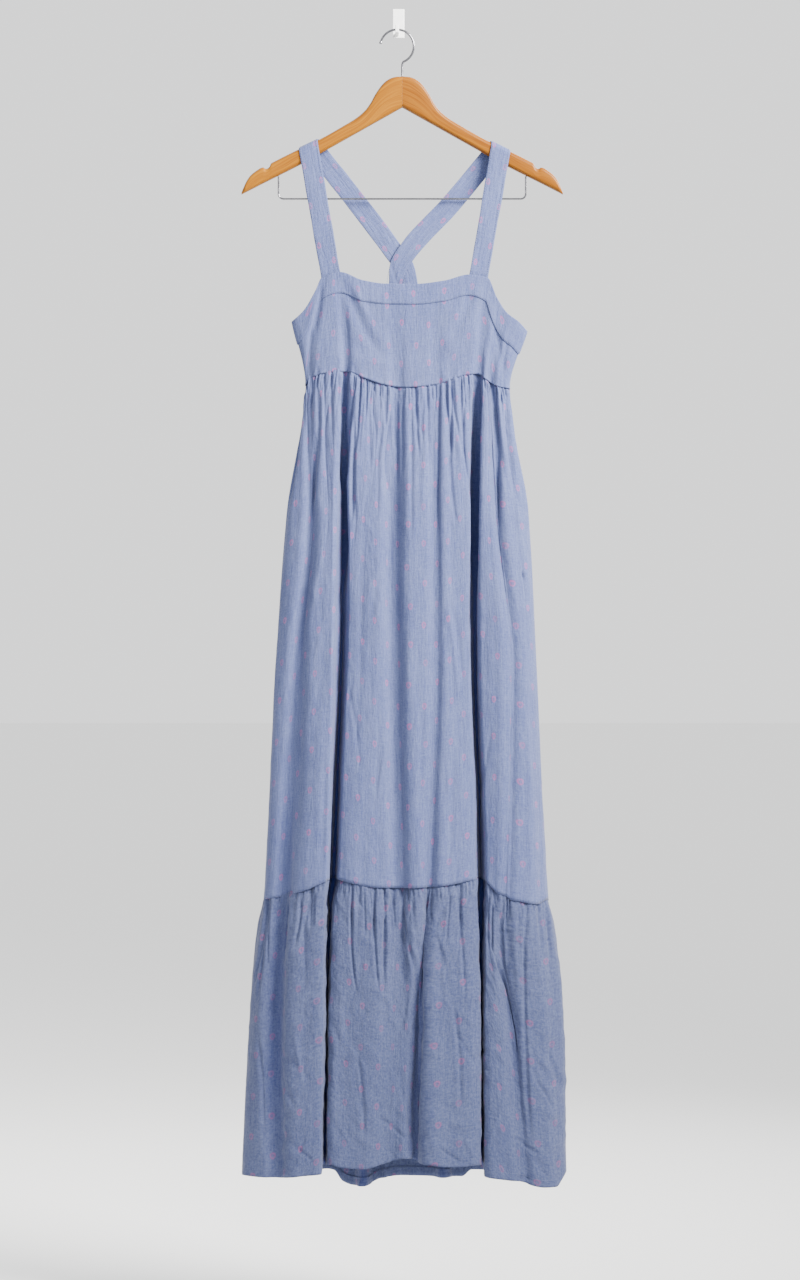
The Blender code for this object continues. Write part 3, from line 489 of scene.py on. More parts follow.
def raised(lump, u, v, seed):
    """Height of soft unevenness at each u and v."""
    return lump.high * soft_noise(u, v, lump.wide, lump.long, seed + lump.seed)


def run_along(points):
    """How far along a path each of its points lies."""
    return np.concatenate(([0.0], np.cumsum(np.linalg.norm(np.diff(points, axis=0), axis=1))))


def section(level, folds, face_off):
    """One section across a panel, as x and off, from the left side seam to the right one."""
    left = curve_at(LEVELS, LEFT_SEAM, level)
    right = curve_at(LEVELS, RIGHT_SEAM, level)
    side = curve_at(LEVELS, SIDE_OFF, level)
    face = curve_at(LEVELS, face_off, level)
    inward = 1 if face < side else -1
    across = np.sin(np.linspace(-math.pi / 2, math.pi / 2, SAMPLES))
    x = (left + right) / 2 + (right - left) / 2 * across
    bulge = np.maximum(1 - np.abs(across) ** ROUNDNESS, 0) ** (1 / ROUNDNESS)
    off = side + (face - side) * bulge
    for fold in folds:
        away = np.abs(x - curve_at(LEVELS, fold.x, level))
        deep = curve_at(LEVELS, fold.deep, level)
        wide = curve_at(LEVELS, fold.wide, level)
        trough = np.exp(-((away / wide) ** 3))
        shoulder = SHOULDER * bell(away / (wide * SHOULDER_SPREAD))
        off = off + inward * deep * bulge * (trough + shoulder)
    return x, off


def points_across(level, folds, face_off, places):
    """The section's x, off and run at places given in columns of the cloth."""
    x, off = section(level, folds, face_off)
    run = run_along(np.stack((x, off), axis=-1))
    knots = [0.0]
    stops = [0.0]
    for fold in folds:
        knots.append(knots[-1] + fold.columns)
        stops.append(float(np.interp(curve_at(LEVELS, fold.x, level), x, run)))
    knots.append(COLUMNS)
    stops.append(float(run[-1]))
    along = np.interp(places, knots, stops)
    return np.interp(along, run, x), np.interp(along, run, off), along


def edge_height(edges, x):
    """Height of a seam or hem at each x, without corners."""
    knots, heights = zip(*edges)
    return curve_at(knots, heights, np.clip(x, knots[0], knots[-1]))


def sheet(levels, places, folds, face_off, edges):
    """Middle surface of a panel in millimetres, rows down it and columns across it."""
    heights = {}
    for level, edge in zip((TOP, EMPIRE, TIER, HEM), edges):
        heights[level] = edge_height(edge, points_across(level, folds, face_off, places)[0])
    rows = []
    for level in levels:
        x, off, _ = points_across(level, folds, face_off, places)
        above = TOP if level < EMPIRE else EMPIRE if level < TIER else TIER
        z = heights[above] + (heights[above + 1.0] - heights[above]) * (level - above)
        rows.append(np.stack((x, -off, z), axis=-1))
    return np.array(rows)


def outward(grid, front):
    """Unit normals of a panel's grid, away from the inside of the dress."""
    normal = np.cross(np.gradient(grid, axis=0), np.gradient(grid, axis=1))
    normal /= np.maximum(np.linalg.norm(normal, axis=2, keepdims=True), 1e-9)
    return normal if front else -normal


def painted_fold_shade(grid, levels, folds):
    """Painted shade at each point inside a deep fold, from 0 to 1, fuller in deeper folds."""
    painted_shade = np.zeros(grid.shape[:2])
    start, reach = PAINTED_SHADE_DEPTH
    for fold in folds:
        deep = np.clip((curve_at(LEVELS, fold.deep, levels) - start) / reach, 0, 1)[:, None]
        wide = curve_at(LEVELS, fold.wide, levels)[:, None]
        away = (grid[..., 0] - curve_at(LEVELS, fold.x, levels)[:, None]) / wide
        painted_shade = np.maximum(painted_shade, deep * np.exp(-(away ** 4)))
    return painted_shade


def crease_depth(grid, creases):
    """How far each point of a grid sinks for the creases, in millimetres."""
    x = grid[..., 0]
    z = grid[..., 2]
    sink = np.zeros(x.shape)
    for crease in creases:
        run_x = crease.x2 - crease.x1
        run_z = crease.z2 - crease.z1
        length = math.hypot(run_x, run_z)
        along = ((x - crease.x1) * run_x + (z - crease.z1) * run_z) / length ** 2
        side = ((x - crease.x1) * run_z - (z - crease.z1) * run_x) / length
        taper = eased(np.clip(np.minimum(along, 1 - along) * CREASE_TAPER, 0, 1))
        away = (side + crease.bow * 4 * along * (1 - along)) / crease.wide
        lip = CREASE_LIP * bell(away / CREASE_LIP_SPREAD)
        sink += crease.deep * taper * (CREASE_SINK * bell(away) - lip)
    return sink


def ridge_height(grid, levels, ridges):
    """How far each point of a grid stands proud for the soft ridges, in millimetres."""
    x = grid[..., 0]
    height = np.zeros(x.shape)
    for ridge in ridges:
        away = x - curve_at(LEVELS, ridge.x, levels)[:, None]
        share = np.clip(1 - np.where(away < 0, -away / ridge.left, away / ridge.right), 0, 1)
        rise = np.where(away < 0, share ** RIDGE_LEFT, eased(share))
        height += curve_at(LEVELS, ridge.high, levels)[:, None] * rise
    return height


def puckers(edge, spread):
    """Uneven creases that run down from a gathered seam."""
    draw = np.random.RandomState(spread.seed)
    made = []
    x = spread.start
    middle = (spread.start + spread.end) / 2
    while x < spread.end:
        is_long = draw.uniform() < spread.long_share
        size = LONG_PUCKER if is_long else SHORT_PUCKER
        run = draw.lognormal(math.log(LONG_RUN if is_long else spread.short), RUN_SPREAD)
        z = float(edge_height(edge, np.array(x)))
        lean = spread.fan * (x - middle) / 100 + draw.normal(0, PUCKER_LEAN)
        made.append(Crease(x, z + PUCKER_ABOVE * run, x + run * lean, z - run,
                           draw.uniform(-PUCKER_BOW, PUCKER_BOW) * run,
                           draw.uniform(*size.deep), draw.uniform(*size.wide)))
        x += spread.pitch * draw.uniform(*PUCKER_STEP)
    return tuple(made)


def scattered(spread):
    """Faint creases spread unevenly over a panel, one in three of them a ridge."""
    draw = np.random.RandomState(spread.seed)
    made = []
    for _ in range(spread.count):
        x = draw.uniform(*spread.x)
        z = draw.uniform(*spread.z)
        run = draw.uniform(*spread.length)
        slant = draw.normal(0, spread.lean)
        made.append(Crease(x, z, x + run * math.sin(slant), z - run * math.cos(slant),
                           draw.uniform(-SCATTER_BOW, SCATTER_BOW) * run,
                           draw.uniform(*spread.deep) * draw.choice((1, 1, -1)),
                           draw.uniform(*spread.wide)))
    return tuple(made)


def crests(place, columns, shift, sharp, middle):
    """Waves with broad crests and narrow hollows, a crest for every so many columns."""
    return 2 * np.abs(np.cos(math.pi / columns * place + shift)) ** sharp - middle


def gather_height(levels, places, gathers, seed):
    """Height of the gathers at each level and place, fine ones at the seam and broader ones below."""
    place, below = np.meshgrid(places, levels - gathers.seam)
    below = np.maximum(below, 0)
    drift = raised(GATHER_DRIFT, place, below, seed)
    size = 1 + gathers.uneven * raised(GATHER_SIZE, place, 0 * below, seed)
    reach = gathers.fine_reach * (1 + raised(GATHER_REACH, place, 0 * below, seed))
    fine = crests(place, FINE_COLUMNS, drift, *FINE_CREST)
    height = gathers.fine * size * fine * np.exp(-((below / reach) ** GATHER_FALL))
    rise = np.clip(below / BROAD_START, 0, 1)
    more, shift = PAIR_DRIFT
    pairs = crests(place, PAIR_COLUMNS, more * drift + shift, *PAIR_CREST)
    fall = np.exp(-((below / gathers.pairs_reach) ** GATHER_FALL))
    height += gathers.pairs * size * rise * pairs * fall
    broad = raised(GATHER_BROAD, place, below, seed)
    height += gathers.broad * rise * broad * bell(below / gathers.broad_reach)
    return height * np.clip(GATHER_LEAST + below / GATHER_START, 0, 1)


def side_fade(places, width):
    """0 at the side seams and 1 past a width from them, in columns."""
    return eased(np.clip(np.minimum(places, COLUMNS - places) / width, 0, 1))


def to_sides(height, places, side):
    """Relief that fades out towards the side seams, where the edges turn in."""
    fade, turned, inward = side
    return height * side_fade(places, fade) - inward * (1 - side_fade(places, turned))


def add_object(name, data):
    """A new object in the scene."""
    made = bpy.data.objects.new(name, data)
    bpy.context.scene.collection.objects.link(made)
    return made


def new_piece(name, points, faces, finish, marks=None, kind="cloth"):
    """A mesh piece from points in millimetres, riding on the part's one body.

    The marks, where there are any, place each point for the material, in metres; on a gathered panel the
    third number is its painted shade inside the deep folds instead.
    """
    mesh = bpy.data.meshes.new(name)
    points = (np.asarray(points, float).reshape(-1, 3) + HANGER_AT) * MM
    mesh.from_pydata(points.tolist(), [], faces)
    if marks is not None:
        held = mesh.attributes.new(kind, "FLOAT_VECTOR", "POINT")
        held.data.foreach_set("vector", np.asarray(marks, float).reshape(-1))
    mesh.shade_smooth()
    mesh.validate()
    mesh.materials.append(finish)
    piece = add_object(name, mesh)
    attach(piece, "root")
    return piece


def grid_faces(rows, columns, closed=False, flip=False):
    """Quads of a grid; closed joins its last column to its first."""
    faces = []
    for r in range(rows - 1):
        for c in range(columns if closed else columns - 1):
            d = (c + 1) % columns
            quad = (r * columns + c, (r + 1) * columns + c, (r + 1) * columns + d, r * columns + d)
            faces.append(quad[::-1] if flip else quad)
    return faces


def tube_faces(rows, around, flip=False):
    """Faces of a closed tube with both of its ends filled."""
    faces = grid_faces(rows, around, closed=True, flip=flip)
    first = tuple(range(around))
    last = tuple(range((rows - 1) * around, rows * around))
    faces.append(first if flip else first[::-1])
    faces.append(last[::-1] if flip else last)
    return faces


def cloth_coordinates(grid, places, folds, face_off, start=0.0, level=GRAIN_LEVEL):
    """The cloth's own coordinates in metres: along its width, and down from the panel's top."""
    _, _, width = points_across(level, folds, face_off, places)
    down = start + (grid[0, :, 2] - grid[..., 2])
    across = np.broadcast_to(width - width[-1] / 2, down.shape)
    return np.stack((across, down, 0 * down), axis=-1) * MM


def hemmed(grid, cloth, normal):
    """Add the turned-up hem: the cloth rounds its lower edge and runs back up on the inside."""
    extra = []
    marks = []
    for up, inward in HEM_ROWS:
        source = grid[-1] if up <= HEM_ROUND else row_above(grid, up)
        extra.append(source - normal[-1] * inward + (0, 0, min(up, HEM_ROUND)))
        marks.append(cloth[-1] + (0, up * MM, 0))
    return np.concatenate((grid, extra)), np.concatenate((cloth, marks))


def row_above(grid, lift):
    """Points of a grid that lie a height above its last row."""
    height = grid[:, :, 2] - grid[-1, :, 2]
    row = np.empty(grid.shape[1:])
    for c in range(grid.shape[1]):
        for axis in range(3):
            row[c, axis] = np.interp(lift, height[::-1, c], grid[::-1, c, axis])
    return row


def panel_height(panel, hem, grid, cloth, levels, places):
    """How far a gathered panel stands out from its plain folded form."""
    folds, _, edges = SIDES[panel.side]
    u, v = cloth[..., 0] / MM, cloth[..., 1] / MM
    seed = panel.seed
    height = gather_height(levels, places, panel.gathers, seed)
    for fold in np.cumsum([fold.columns for fold in folds]):
        height *= 1 - FOLD_CALM * bell((places - fold) / FOLD_CALM_REACH)
    seam = edges[2] if hem else edges[1]
    height -= crease_depth(grid, panel.creases + scattered(panel.scatter) + puckers(seam, panel.pucker))
    ridges = ridge_height(grid, levels, RIDGES[panel.side])
    if not hem:
        ridges *= np.clip((v - v[0]) / RIDGE_START, 0, 1)
    height += ridges
    height -= panel.gathers.dip * bell((v - v[0]) / SEAM_DIP_REACH)
    for lump in PANEL_LUMPS:
        height += raised(lump, u, v, seed)
    for fine in CRUMPLES:
        rough = soft_noise(u + fine.across * v, v + fine.down * u, fine.wide, fine.long, seed + fine.seed)
        height += panel.crumple * fine.share * (0.5 - np.abs(rough))
    height = to_sides(height, places, PANEL_SIDE)
    if not hem:
        height[-len(SEAM_LIP):] += np.array(SEAM_LIP)[:, None]
    return height


def make_panel(panel, finish):
    """One gathered panel as a single sheet with its edges turned in, and its hem's path if it has one."""
    folds, face_off, edges = SIDES[panel.side]
    front = panel.side == "front"
    hem = panel.gathers.seam == TIER
    levels = panel.gathers.seam + np.linspace(0, 1, panel.rows) ** panel.crowd
    places = np.linspace(0, COLUMNS, panel.columns)
    grid = sheet(levels, places, folds, face_off, edges)
    cloth = cloth_coordinates(grid, places, folds, face_off, TIER_START if hem else 0)
    # The third number of each cloth mark is the painted shade inside the deep folds.
    cloth[..., 2] = painted_fold_shade(grid, levels, folds)
    normal = outward(grid, front)
    grid = grid + normal * panel_height(panel, hem, grid, cloth, levels, places)[..., None]
    line = None
    if hem:
        line = row_above(grid, HEM_TURN - EDGE_STITCH) + normal[-1] * HEM_LINE_LIFT, normal[-1]
        grid, cloth = hemmed(grid, cloth, normal)
    else:
        grid = np.concatenate((grid, [grid[-1] - normal[-1] * SEAM_BEHIND + (0, 0, SEAM_TURN)]))
        cloth = np.concatenate((cloth, cloth[-1:]))
    tuck = grid[0] - normal[0] * TUCK_BEHIND + (0, 0, TUCK)
    grid = np.concatenate(([tuck], grid))
    cloth = np.concatenate(([cloth[0] - (0, TUCK * MM, 0)], cloth))
    faces = grid_faces(len(grid), panel.columns, flip=not front)
    return new_piece(panel.name + "_cloth", grid, faces, finish, cloth), line


def strip_of(grid, start, end, steps):
    """The part of a grid between two depths below its top row, in millimetres."""
    depth = grid[0, :, 2] - grid[:, :, 2]
    rows = np.empty((steps + 1, grid.shape[1], grid.shape[2]))
    for c in range(grid.shape[1]):
        at = np.linspace(start if np.isscalar(start) else start[c],
                         end if np.isscalar(end) else end[c], steps + 1)
        for axis in range(grid.shape[2]):
            rows[:, c, axis] = np.interp(at, depth[:, c], grid[:, c, axis])
    return rows


def evened(values, reach):
    """Values averaged over their neighbours, so that an edge drawn by them has no kinks."""
    padded = np.pad(values, reach, mode="edge")
    weights = np.hanning(2 * reach + 3)[1:-1]
    return np.convolve(padded, weights / weights.sum(), mode="valid")


def make_band(name, strip, normal, cloth, finish, front):
    """A band folded double: down its face from the fold, and up again behind."""
    half = BAND_CLOTH / 2
    fold = [strip[0] + normal[0] * half * math.cos(a) + (0, 0, half * math.sin(a))
            for a in np.linspace(0, math.pi, BAND_TURN)]
    face = strip[1:] + normal[1:] * half
    face[-1] -= normal[-1] * half * BAND_EDGE_IN
    behind = strip[1:] - normal[1:] * half
    rows = np.concatenate((behind[::-1], fold[::-1], face))
    marks = np.concatenate((cloth[1:][::-1], np.repeat(cloth[:1], BAND_TURN, axis=0), cloth[1:]))
    faces = grid_faces(len(rows), rows.shape[1], flip=not front)
    return new_piece(name, rows, faces, finish, marks)


def bodice_grid(side, columns, creases, seed):
    """The bodice of one side from its top edge to the seam: points, normals and cloth coordinates."""
    folds, face_off, edges = SIDES[side]
    places = np.linspace(0, COLUMNS, columns)
    grid = sheet(np.linspace(TOP, EMPIRE - 1e-6, BODICE_LEVELS), places, folds, face_off, edges)
    normal = outward(grid, side == "front")
    cloth = cloth_coordinates(grid, places, folds, face_off, level=BODICE_GRAIN_LEVEL)
    u, v = cloth[..., 0] / MM, cloth[..., 1] / MM
    height = -crease_depth(grid, creases)
    for lump in BODICE_LUMPS:
        height += raised(lump, u, v, seed)
    pull = bell((grid[..., 2] - grid[-1, :, 2]) / SEAM_PULL)
    height += pull * raised(BODICE_PULL, np.broadcast_to(places, u.shape), 0 * u, seed)
    height = to_sides(height, places, BODICE_SIDE)
    return np.concatenate((grid + normal * height[..., None], normal, cloth), axis=2)


def make_bodice(side, columns, creases, seed, finish):
    """The bodice panel of one side with the bands along its top edge, and the paths of its sewing."""
    front = side == "front"
    packed = bodice_grid(side, columns, creases, seed)
    top = packed[0, :, 2]
    slope = np.gradient(top, packed[0, :, 0])
    depth = evened(BAND_HEIGHT * np.minimum(np.hypot(1, slope), BAND_STEEPEST), columns // BAND_EVEN)
    panel = strip_of(packed, depth - BAND_OVER, top - packed[-1, :, 2], BODICE_ROWS)
    points = panel[..., :3].copy()
    normal = panel[..., 3:6]
    points[-len(BODICE_LIP):] += normal[-len(BODICE_LIP):] * np.array(BODICE_LIP)[:, None, None]
    points = np.concatenate((points, [points[-1] - normal[-1] * BODICE_BEHIND + (0, 0, SEAM_TURN)]))
    marks = np.concatenate((panel[..., 6:], panel[-1:, :, 6:]))
    name = f"bodice_{side}"
    faces = grid_faces(len(points), columns, flip=not front)
    pieces = {name: new_piece(name + "_cloth", points, faces, finish, marks)}
    band = strip_of(packed, 0, depth, BAND_ROWS)
    band[..., :3] += band[..., 3:6] * BAND_STANDS
    stops = [0, columns - 1]
    names = ("band_back",)
    if front:
        stops[1:1] = [round(place / COLUMNS * (columns - 1)) for place in BAND_PLACES]
        names = ("armhole_band_left", "neck_band_front", "armhole_band_right")
    lines = {}
    for name, first, last in zip(names, stops, stops[1:]):
        part = band[:, first:last + 1]
        marks = part[..., 6:].copy()
        marks[..., 1] += (MOTIF_REPEAT / 2 - BAND_HEIGHT / 2) * MM
        pieces[name] = make_band(name + "_cloth", part[..., :3], part[..., 3:6], marks, finish, front)
        low = part[-2, 2:-2]
        lines[name] = low[:, :3] + low[:, 3:6] * (BAND_CLOTH / 2 + BAND_LINE_LIFT), low[:, 3:6]
    return pieces, lines


def arm_slope(out):
    """Unit direction along an arm's top, inward and up, and its height, at a distance out."""
    outs = [cut.out for cut in ARM]
    low = int(np.searchsorted(outs, out)) - 1
    run = ARM[low + 1].out - ARM[low].out
    drop = ARM[low].top - ARM[low + 1].top
    length = math.hypot(run, drop)
    return run / length, drop / length, float(np.interp(out, outs, [cut.top for cut in ARM]))


def strap_rows(strap):
    """Middle, across and facing directions of a strap, from under the front's band to the back's."""
    x, off = section(TOP, FRONT_FOLDS, FRONT_OFF)
    ends = []
    for at in (strap.front_outer, strap.front_inner):
        ends.append((at[0], -float(np.interp(at[0], x, off)), at[1]))
    outer, inner = np.array(ends)
    along_x, along_z, top = arm_slope(strap.ridge_x)
    along = np.array((-strap.side * along_x, 0, along_z))
    up = np.array((strap.side * along_z, 0, along_x))
    back = np.array((0.0, 1.0, 0.0))
    middle = np.array((strap.side * strap.ridge_x, -HANGER_OFF, top)) - up * ARM_THICK / 2
    radius = ARM_THICK / 2 + STRAP_CLEAR + STRAP_CLOTH / 2
    sewn = (outer + inner) / 2
    rise = (middle - sewn) * (1, 0, 1)
    fall = np.array((strap.back[0][0], middle[1], strap.back[0][1])) - middle
    lean = float(rise @ along / np.linalg.norm(rise) + fall @ along / np.linalg.norm(fall)) / 2
    climb = math.sqrt(1 - lean * lean)
    wrap = []
    for turn in np.linspace(0, math.pi, STRAP_WRAP):
        face = up * math.sin(turn) - back * math.cos(turn)
        moved = lean * radius * (turn - math.pi / 2)
        wrap.append((middle + face * radius + along * moved / climb, along / climb, face))
    rows = []
    level = (inner - outer) / STRAP_WIDTH
    front_face = -back
    under, until = STRAP_UNDER
    for share in np.linspace(STRAP_TUCK, 1, STRAP_FRONT)[:-1]:
        point = sewn + (wrap[0][0] - sewn) * share
        point = point + (0, under * max(0, 1 - share / until), 0)
        rows.append((point, level + (wrap[0][1] - level) * max(share, 0), front_face))
    rows += wrap
    run = np.array([wrap[-1][0]] + [(px, -po, pz) for px, pz, po in strap.back])
    length = run_along(run)
    stops = np.linspace(0, length[-1], STRAP_BACK)
    line = np.stack([curve_at(length, run[:, axis], stops) for axis in range(3)], axis=-1)
    heading = np.gradient(line, axis=0)
    for i in range(1, len(line)):
        level = np.array((-heading[i][2], 0, heading[i][0]))
        level *= math.copysign(1, level @ wrap[-1][1]) / np.linalg.norm(level)
        blend = min(i / STRAP_TURN, 1.0)
        level = wrap[-1][1] * (1 - blend) + level * blend
        rows.append((line[i], level, back))
    return rows


def make_strap(name, strap, seed, finish):
    """A strap folded double: a flat tube with rounded edges, a little uneven along its length."""
    rows = strap_rows(strap)
    run = run_along(np.array([row[0] for row in rows]))
    half = STRAP_WIDTH / 2
    share = np.sin(np.linspace(-math.pi / 2, math.pi / 2, STRAP_ACROSS))
    thick = BAND_CLOTH / 2 * (1 - np.abs(share) ** STRAP_ROUND) ** 0.5
    around = np.concatenate((share, share[-2:0:-1]))
    rise = np.concatenate((thick, -thick[-2:0:-1]))
    points = []
    marks = []
    for (middle, across, face), at in zip(rows, run):
        wide = half * (1 + float(raised(STRAP_EDGE, np.array(at), np.array(0.0), seed)))
        behind = face[1] > 0.5
        wide *= 1 - strap.pinch * bell((middle[2] - PINCH_Z) / PINCH_REACH) * behind
        wave = raised(STRAP_WAVE, np.full(len(around), at), around * half, seed)
        if strap.pinch and behind and PINCH_FOLD[0] < middle[2] < PINCH_FOLD[1]:
            line = np.interp(middle[2], PINCH_FOLD, PINCH_FOLD_ENDS) * math.copysign(1, across[0])
            wave = wave + PINCH_FOLD_HIGH * bell((around - line) / PINCH_FOLD_WIDE)
        points.append(middle + np.outer(around * wide, across) + np.outer(rise + wave, face))
        marks.append(np.stack((around * half, np.full(len(around), at), 0 * around), axis=-1) * MM)
    faces = tube_faces(len(points), len(around), flip=strap.side < 0)
    return new_piece(name, points, faces, finish, marks), rows


def stitches(name, lines, finish):
    """Short raised stitches along lines on the cloth, each line given as points and normals."""
    points = []
    faces = []
    for path, normal in lines:
        path = np.asarray(path, float)
        normal = np.asarray(normal, float)
        run = run_along(path)
        for start in np.arange(STITCH_GAP, run[-1] - STITCH_LONG, STITCH_LONG + STITCH_GAP):
            stops = (start, start + STITCH_LONG / 2, start + STITCH_LONG)
            ends = [np.array([np.interp(at, run, path[:, axis]) for axis in range(3)]) for at in stops]
            face = np.array([np.interp(stops[1], run, normal[:, axis]) for axis in range(3)])
            face /= np.linalg.norm(face)
            side = np.cross(face, ends[2] - ends[0])
            side *= STITCH_WIDE / 2 / max(np.linalg.norm(side), 1e-9)
            base = len(points)
            for end, lift in zip(ends, STITCH_RISE):
                points += [end + side, end + face * lift, end - side]
            for step in (0, 3):
                faces += [(base + step, base + step + 3, base + step + 4, base + step + 1),
                          (base + step + 1, base + step + 4, base + step + 5, base + step + 2)]
    return new_piece(name, points, faces, finish)


def strap_lines(rows):
    """The two lines of stitches on the outer face of a strap."""
    lines = []
    out = STRAP_WIDTH / 2 - EDGE_STITCH
    lift = BAND_CLOTH / 2 + STRAP_LINE_LIFT
    sewn = rows[STRAP_LINE_START:]
    for side in (-1, 1):
        path = [middle + across * side * out + face * lift for middle, across, face in sewn]
        lines.append((path, [face for _, _, face in sewn]))
    return lines


class Tree:
    """Small helper that writes a material's nodes."""

    def __init__(self, name, base=(0.5, 0.5, 0.5), roughness=0.5):
        self.material = bpy.data.materials.new(name)
        self.material.use_nodes = True
        self.nodes = self.material.node_tree.nodes
        self.links = self.material.node_tree.links
        self.shader = self.nodes["Principled BSDF"]
        self.shader.inputs["Base Color"].default_value = (*base, 1)
        self.shader.inputs["Roughness"].default_value = roughness

    def link(self, value, socket):
        """Set a socket from a number, a colour or another node's output."""
        if isinstance(value, bpy.types.NodeSocket):
            self.links.new(value, socket)
        else:
            socket.default_value = value

    def math(self, operation, *values):
        """A Math node's result."""
        node = self.nodes.new("ShaderNodeMath")
        node.operation = operation
        for value, socket in zip(values, node.inputs):
            self.link(value, socket)
        return node.outputs[0]

    def times(self, first, second):
        """Product of two values."""
        return self.math("MULTIPLY", first, second)

    def plus(self, first, second):
        """Sum of two values."""
        return self.math("ADD", first, second)

    def minus(self, first, second):
        """Difference of two values."""
        return self.math("SUBTRACT", first, second)

    def over(self, first, second):
        """One value divided by another."""
        return self.math("DIVIDE", first, second)

    def fade(self, value, low, high, to_low=0.0, to_high=1.0):
        """Smooth step of a value from to_low at low to to_high at high."""
        node = self.nodes.new("ShaderNodeMapRange")
        node.interpolation_type = "SMOOTHSTEP"
        for name, given in (("Value", value), ("From Min", low), ("From Max", high),
                            ("To Min", to_low), ("To Max", to_high)):
            self.link(given, node.inputs[name])
        return node.outputs[0]

    def vector(self, x, y, z=0.0):
        """Three numbers as one vector."""
        node = self.nodes.new("ShaderNodeCombineXYZ")
        for value, socket in zip((x, y, z), node.inputs):
            self.link(value, socket)
        return node.outputs[0]

    def split(self, vector):
        """The three numbers of a vector."""
        node = self.nodes.new("ShaderNodeSeparateXYZ")
        self.link(vector, node.inputs[0])
        return node.outputs

    def own_place(self):
        """Each point's place in the piece itself."""
        return self.nodes.new("ShaderNodeTexCoord").outputs["Object"]

    def attribute(self, name):
        """A mesh attribute, as a vector."""
        node = self.nodes.new("ShaderNodeAttribute")
        node.attribute_name = name
        return node.outputs["Vector"]

    def millimetres(self, name):
        """The three numbers of a mesh attribute that is held in metres."""
        return [self.times(value, 1 / MM) for value in self.split(self.attribute(name))]

    def noise(self, vector, scale=1.0, detail=2.0, rough=0.5):
        """Noise texture between 0 and 1 at a place."""
        node = self.nodes.new("ShaderNodeTexNoise")
        self.link(vector, node.inputs["Vector"])
        node.inputs["Scale"].default_value = scale
        node.inputs["Detail"].default_value = detail
        node.inputs["Roughness"].default_value = rough
        return node.outputs["Fac"]

    def speckle(self, u, v, kind):
        """Noise stretched across and down the cloth."""
        place = self.vector(self.times(u, kind.across), self.times(v, kind.down), kind.at)
        return self.noise(place, 1, kind.detail, kind.rough)

    def inputs(self, **values):
        """Set the shader's own inputs, named with underscores for spaces."""
        for name, value in values.items():
            self.link(value, self.shader.inputs[name.replace("_", " ")])

    def mix(self, share, first, second):
        """Blend of two colours."""
        node = self.nodes.new("ShaderNodeMix")
        node.data_type = "RGBA"
        self.link(share, node.inputs["Factor"])
        for value, socket in ((first, node.inputs[6]), (second, node.inputs[7])):
            self.link(value if isinstance(value, bpy.types.NodeSocket) else (*value, 1), socket)
        return node.outputs[2]

    def bump(self, height, distance, strength=1.0, below=None):
        """Bump from a height in 0 to 1, distance millimetres high, over another bump if given."""
        node = self.nodes.new("ShaderNodeBump")
        node.inputs["Strength"].default_value = strength
        node.inputs["Distance"].default_value = distance * MM
        self.link(height, node.inputs["Height"])
        if below is not None:
            self.link(below, node.inputs["Normal"])
        return node.outputs["Normal"]


COTTON_DEEP = (0.036, 0.050, 0.152)
COTTON_PALE = (0.109, 0.133, 0.254)
COTTON_PAINTED_SHADE = (0.010, 0.022, 0.18)     # painted shade, a dark navy inside a deep fold
COTTON_GREY = (0.026, 0.032, 0.056)     # mixed into the tier's cotton
PINK = (0.32, 0.065, 0.20)

# Noise in the cotton: how fast it changes across and down the cloth, where it is read, its detail and
# its roughness.
Speckle = namedtuple("Speckle", "across down at detail rough")
WARP = Speckle(1.1, 0.045, 0.0, 3, 0.6)
WEFT = Speckle(0.07, 1.2, 7.0, 2, 0.6)
HEATHER = Speckle(1.5, 0.5, 3.0, 2, 0.7)
BLOTCH = Speckle(0.018, 0.012, 5.0, 3, 0.5)
STREAK = Speckle(0.33, 0.012, 9.0, 3, 0.7)
MOTTLE = Speckle(0.42, 0.30, 11.0, 3, 0.65)
CRINKLE = Speckle(0.26, 0.045, 1.0, 4, 0.6)
SLUB = Speckle(1.3, 0.12, 2.0, 2, 0.6)
CRUMPLED = Speckle(0.075, 0.06, 4.0, 4, 0.55)
WARP_MIX = (0.6, 0.4)   # fine threads and broader streaks in the warp
TONE_SHARES = (0.62, 0.30, 0.42, 0.14)  # warp, weft, heather and blotches in the cotton's tone
MOTTLE_SHARE = 0.35
TONE_RANGE = (0.48, 1.0)
WEAVE = 9.0             # turns of the weave's sine for each millimetre, in radians
RING_THREADS = 7.5      # the same for the threads in a ring
RING_OFF = (4.0, 6.0)   # how far a ring may lie off its place, across and down
RING_EDGE = (1.3, 0.8)  # a ring fades in between these shares of its size, and its core in turn
RING_CORE = (0.85, 0.45)
RING_STRENGTH = (0.42, 0.42)    # least, and what chance adds
RING_NARROW = 0.05      # how much narrower a ring is for each millimetre down it
RING_ROUGH = 0.9        # how much the heather roughens its edge
RING_GAPS = (0.72, 0.28)        # its strength between threads, and what a thread adds or takes
RING_HOLLOW = 0.8       # how much weaker its core is
PAINTED_SHADE_SHARE = 0.72     # share of the painted shade mixed in where a deep fold is darkest

# Bumps: height in millimetres and strength.
CRINKLE_BUMP = (1.5, 0.9)
SLUB_BUMP = (0.3, 0.7)
WEAVE_BUMP = (0.06, 0.5)


def cotton_tone(tree, u, v, heather, greyer):
    """How pale the threads are at each place, from 0 to 1."""
    warp = tree.speckle(u, v, WARP)
    weft = tree.speckle(u, v, WEFT)
    blotch = tree.speckle(u, v, BLOTCH)
    streak = tree.speckle(u, v, STREAK)
    warp = tree.plus(tree.times(warp, WARP_MIX[0]), tree.times(streak, WARP_MIX[1]))
    tone = tree.times(warp, TONE_SHARES[0])
    for value, share in zip((weft, heather, blotch), TONE_SHARES[1:]):
        tone = tree.plus(tone, tree.times(value, share))
    mottle = tree.minus(tree.speckle(u, v, MOTTLE), 0.5)
    tone = tree.plus(tone, tree.times(mottle, MOTTLE_SHARE + greyer))
    return tree.fade(tone, *TONE_RANGE)


